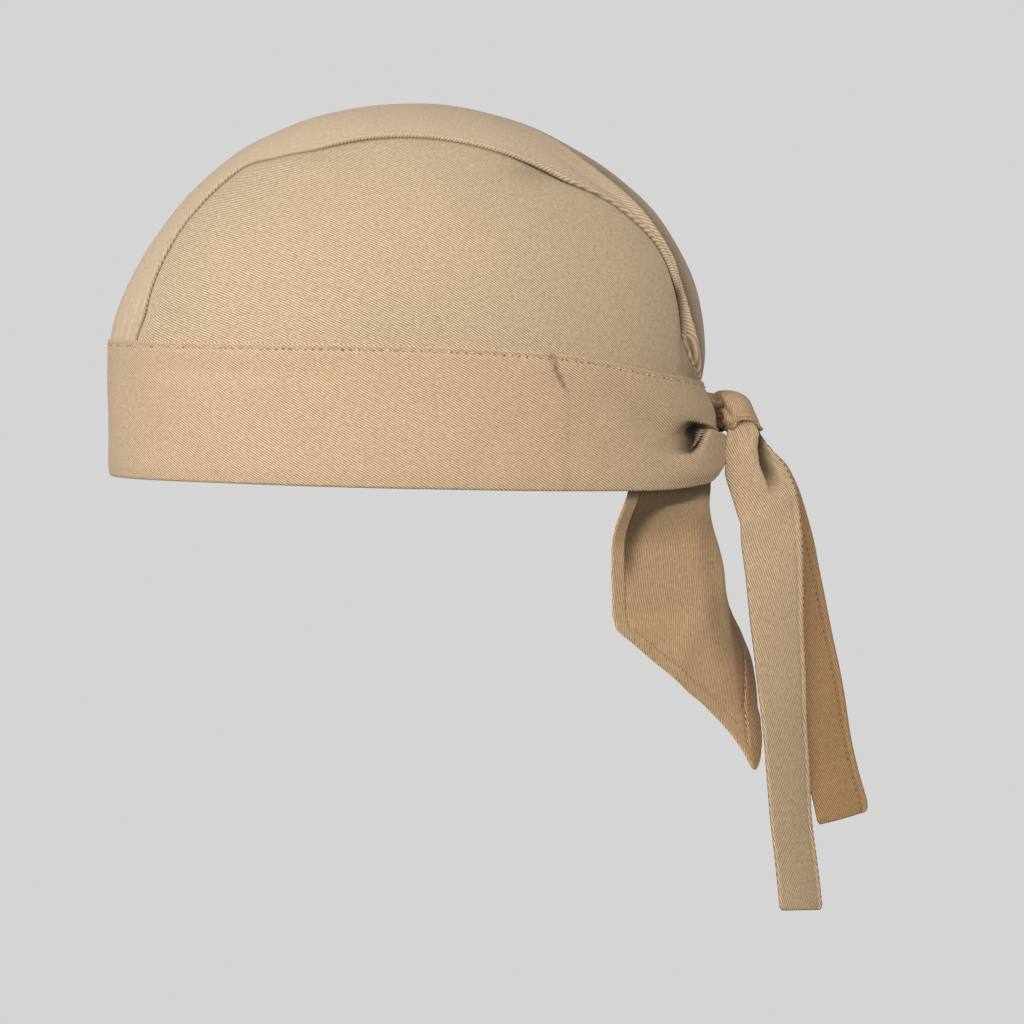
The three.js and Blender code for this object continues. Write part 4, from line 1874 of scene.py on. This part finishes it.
        for side, lowest in ((Side.LEFT, self.near_low), (Side.RIGHT, low)):
            for start, end, hem in ((bend, self.upper_end, self.hem), (lowest, bend - 2.0, lower_hem)):
                def line(along: Array) -> tuple[Array, Array]:
                    """The line of one seam's stitches."""
                    z = mix(start, end, along)
                    return side.value * (1 - hem / self.reach(side.value + 0 * z, z)), z

                stitching.sew(bm, face, line)
        return finish_piece(bm, "neck_flap_stitches", thread.material())

    def build(self, cloth: Twill, thread: Thread) -> bpy.types.Object:
        """Makes the flap and its hem stitches.

        Args:
            cloth: The flap's finish.
            thread: The stitches' finish.

        Returns:
            The flap.
        """
        piece = finish_piece(self.wall_mesh(), "neck_flap_cloth", cloth.material())
        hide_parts("neck_flap")
        self.stitches(thread)
        return piece


# ---- the stage


@dataclass(frozen=True)
class Studio:
    """The camera at the photograph's angle, a pale sweep and soft light."""

    distance: float = 2.2
    elevation: float = 1.5
    target: tuple[float, float, float] = (0.0, 0.0358, -0.009)
    frame_width: float = 0.34406
    sensor: float = 36.0
    grey: int = 213
    floor: float = -0.9
    radius: float = 4.0
    # The sweep's rings outside its floor: how far each rises and grows
    steps: tuple[tuple[float, float], ...] = ((0.05, 0.35), (0.3, 0.45), (0.8, 0.3), (3, 0.1), (5, -1.6))
    surround: tuple[float, float, float, float] = (1.0, 0.98, 0.95, 1.0)
    surround_strength: float = 0.24

    def camera(self) -> None:
        """Places the camera on the wearer's left, looking along -X."""
        data = bpy.data.cameras.new("camera")
        data.sensor_width = self.sensor
        data.lens = self.sensor * self.distance / self.frame_width
        data.clip_end = 50
        camera = bpy.data.objects.new("camera", data)
        bpy.context.scene.collection.objects.link(camera)
        up = math.radians(self.elevation)
        way = Vector((math.cos(up), 0, math.sin(up)))
        camera.location = Vector(self.target) + way * self.distance
        camera.rotation_euler = way.to_track_quat("Z", "Y").to_euler()
        bpy.context.scene.camera = camera

    def sweep(self) -> None:
        """A pale floor that curves up into a wall all round."""
        bm = bmesh.new()
        bmesh.ops.create_circle(bm, cap_ends=True, segments=96, radius=self.radius)
        for vert in bm.verts:
            vert.co.z = self.floor
        rim = [edge for edge in bm.edges if edge.is_boundary]
        for rise, grow in self.steps:
            out = bmesh.ops.extrude_edge_only(bm, edges=rim)["geom"]
            rim = [item for item in out if isinstance(item, bmesh.types.BMEdge)]
            for vert in (item for item in out if isinstance(item, bmesh.types.BMVert)):
                flat = Vector((vert.co.x, vert.co.y, 0)).normalized()
                vert.co += flat * grow + Vector((0, 0, rise))
        bmesh.ops.recalc_face_normals(bm, faces=bm.faces[:])
        bmesh.ops.reverse_faces(bm, faces=bm.faces[:])
        mesh = bpy.data.meshes.new("sweep")
        bm.to_mesh(mesh)
        bm.free()
        glow = linear(self.grey, self.grey, self.grey)
        mesh.materials.append(Shader("pale_sweep").paint(
            Base_Color=(0, 0, 0, 1), Roughness=1.0, Specular_IOR_Level=0.0,
            Emission_Color=glow, Emission_Strength=1.0))
        sweep = bpy.data.objects.new("sweep", mesh)
        bpy.context.scene.collection.objects.link(sweep)
        sweep.visible_diffuse = sweep.visible_glossy = sweep.visible_shadow = False

    def lamp(self, name: str, place: tuple[float, float, float], size: float, power: float,
             colour: tuple[float, float, float]) -> None:
        """Adds a soft square light that faces the cap.

        Args:
            name: Its name.
            place: Where it stands, in metres.
            size: Its side's length.
            power: Its power, in watts.
            colour: Its colour.
        """
        data = bpy.data.lights.new(name, "AREA")
        data.color = colour
        data.size = size
        data.energy = power
        lamp = bpy.data.objects.new(name, data)
        bpy.context.scene.collection.objects.link(lamp)
        lamp.location = place
        away = Vector(place) - Vector(self.target)
        lamp.rotation_euler = away.to_track_quat("Z", "Y").to_euler()

    def light(self) -> None:
        """Soft lamps from the front, the left and above, in a pale surround."""
        white = (1.0, 1.0, 1.0)
        self.lamp("side", (0.81, -2.2, 0.36), 1.0, 18.5, white)
        self.lamp("key", (2.23, -0.78, 0.5), 1.0, 18.5, white)
        self.lamp("fill", (2.03, 0.21, 1.3), 1.0, 14.0, (1.0, 0.97, 0.93))
        self.lamp("top", (0.85, -0.81, 2.11), 1.0, 7.0, white)
        self.lamp("back", (1.89, 1.51, 0.2), 0.8, 9.0, (1.0, 0.93, 0.84))
        world = bpy.data.worlds.new("surround")
        world.use_nodes = True
        background = world.node_tree.nodes["Background"]
        background.inputs["Color"].default_value = self.surround
        background.inputs["Strength"].default_value = self.surround_strength
        bpy.context.scene.world = world
        bpy.context.scene.view_settings.view_transform = "Standard"

    def build(self) -> None:
        """Sets up the whole stage."""
        self.camera()
        self.sweep()
        self.light()


def main() -> None:
    """Builds the stage and every piece of the cap, in order."""
    logging.basicConfig(level=logging.INFO, format="%(message)s")
    Studio().build()
    band = Band()
    crown_cloth = Twill("crown_side_twill", (255, 233, 199), (147, 115, 80), lean=29, bend=1.2)
    centre_cloth = Twill("crown_centre_twill", (255, 232, 201), (172, 143, 110), lean=62,
                         pitch=0.55, relief=0.07)
    band_cloth = Twill("headband_twill", (255, 228, 192), (162, 127, 90), lean=-31)
    tie_cloth = Twill("tie_twill", (255, 229, 192), (156, 120, 84), lean=74, pitch=0.8)
    # Painted shade: the tie cloth made darker and warmer for the short tail, which hangs in shade
    shaded_tie_cloth = Twill("shaded_tie_twill", (228, 184, 136), (140, 100, 62), lean=74)
    knot_cloth = Twill("knot_twill", (250, 216, 178), (138, 102, 70), lean=74, pitch=0.72)
    flap_cloth = Twill("flap_twill", (255, 223, 176), (150, 108, 72), lean=78, pitch=0.8)
    pale_thread = Thread("pale_thread", (232, 212, 182), (146, 122, 92))
    khaki_thread = Thread("khaki_thread", (214, 186, 150), (140, 110, 78))
    dark_thread = Thread("dark_thread", (150, 118, 84), (96, 70, 44))
    Crown(band).build(crown_cloth, centre_cloth)
    band.build(band_cloth, pale_thread)
    Knot().build(knot_cloth, khaki_thread)
    TieRoot().build(knot_cloth)
    LONG_TAIL.build(tie_cloth, dark_thread, Slot.TIE)
    SHORT_TAIL.build(shaded_tie_cloth, dark_thread, Slot.TIE)
    NeckFlap(band).build(flap_cloth, dark_thread)


if __name__ == "__main__":
    main()
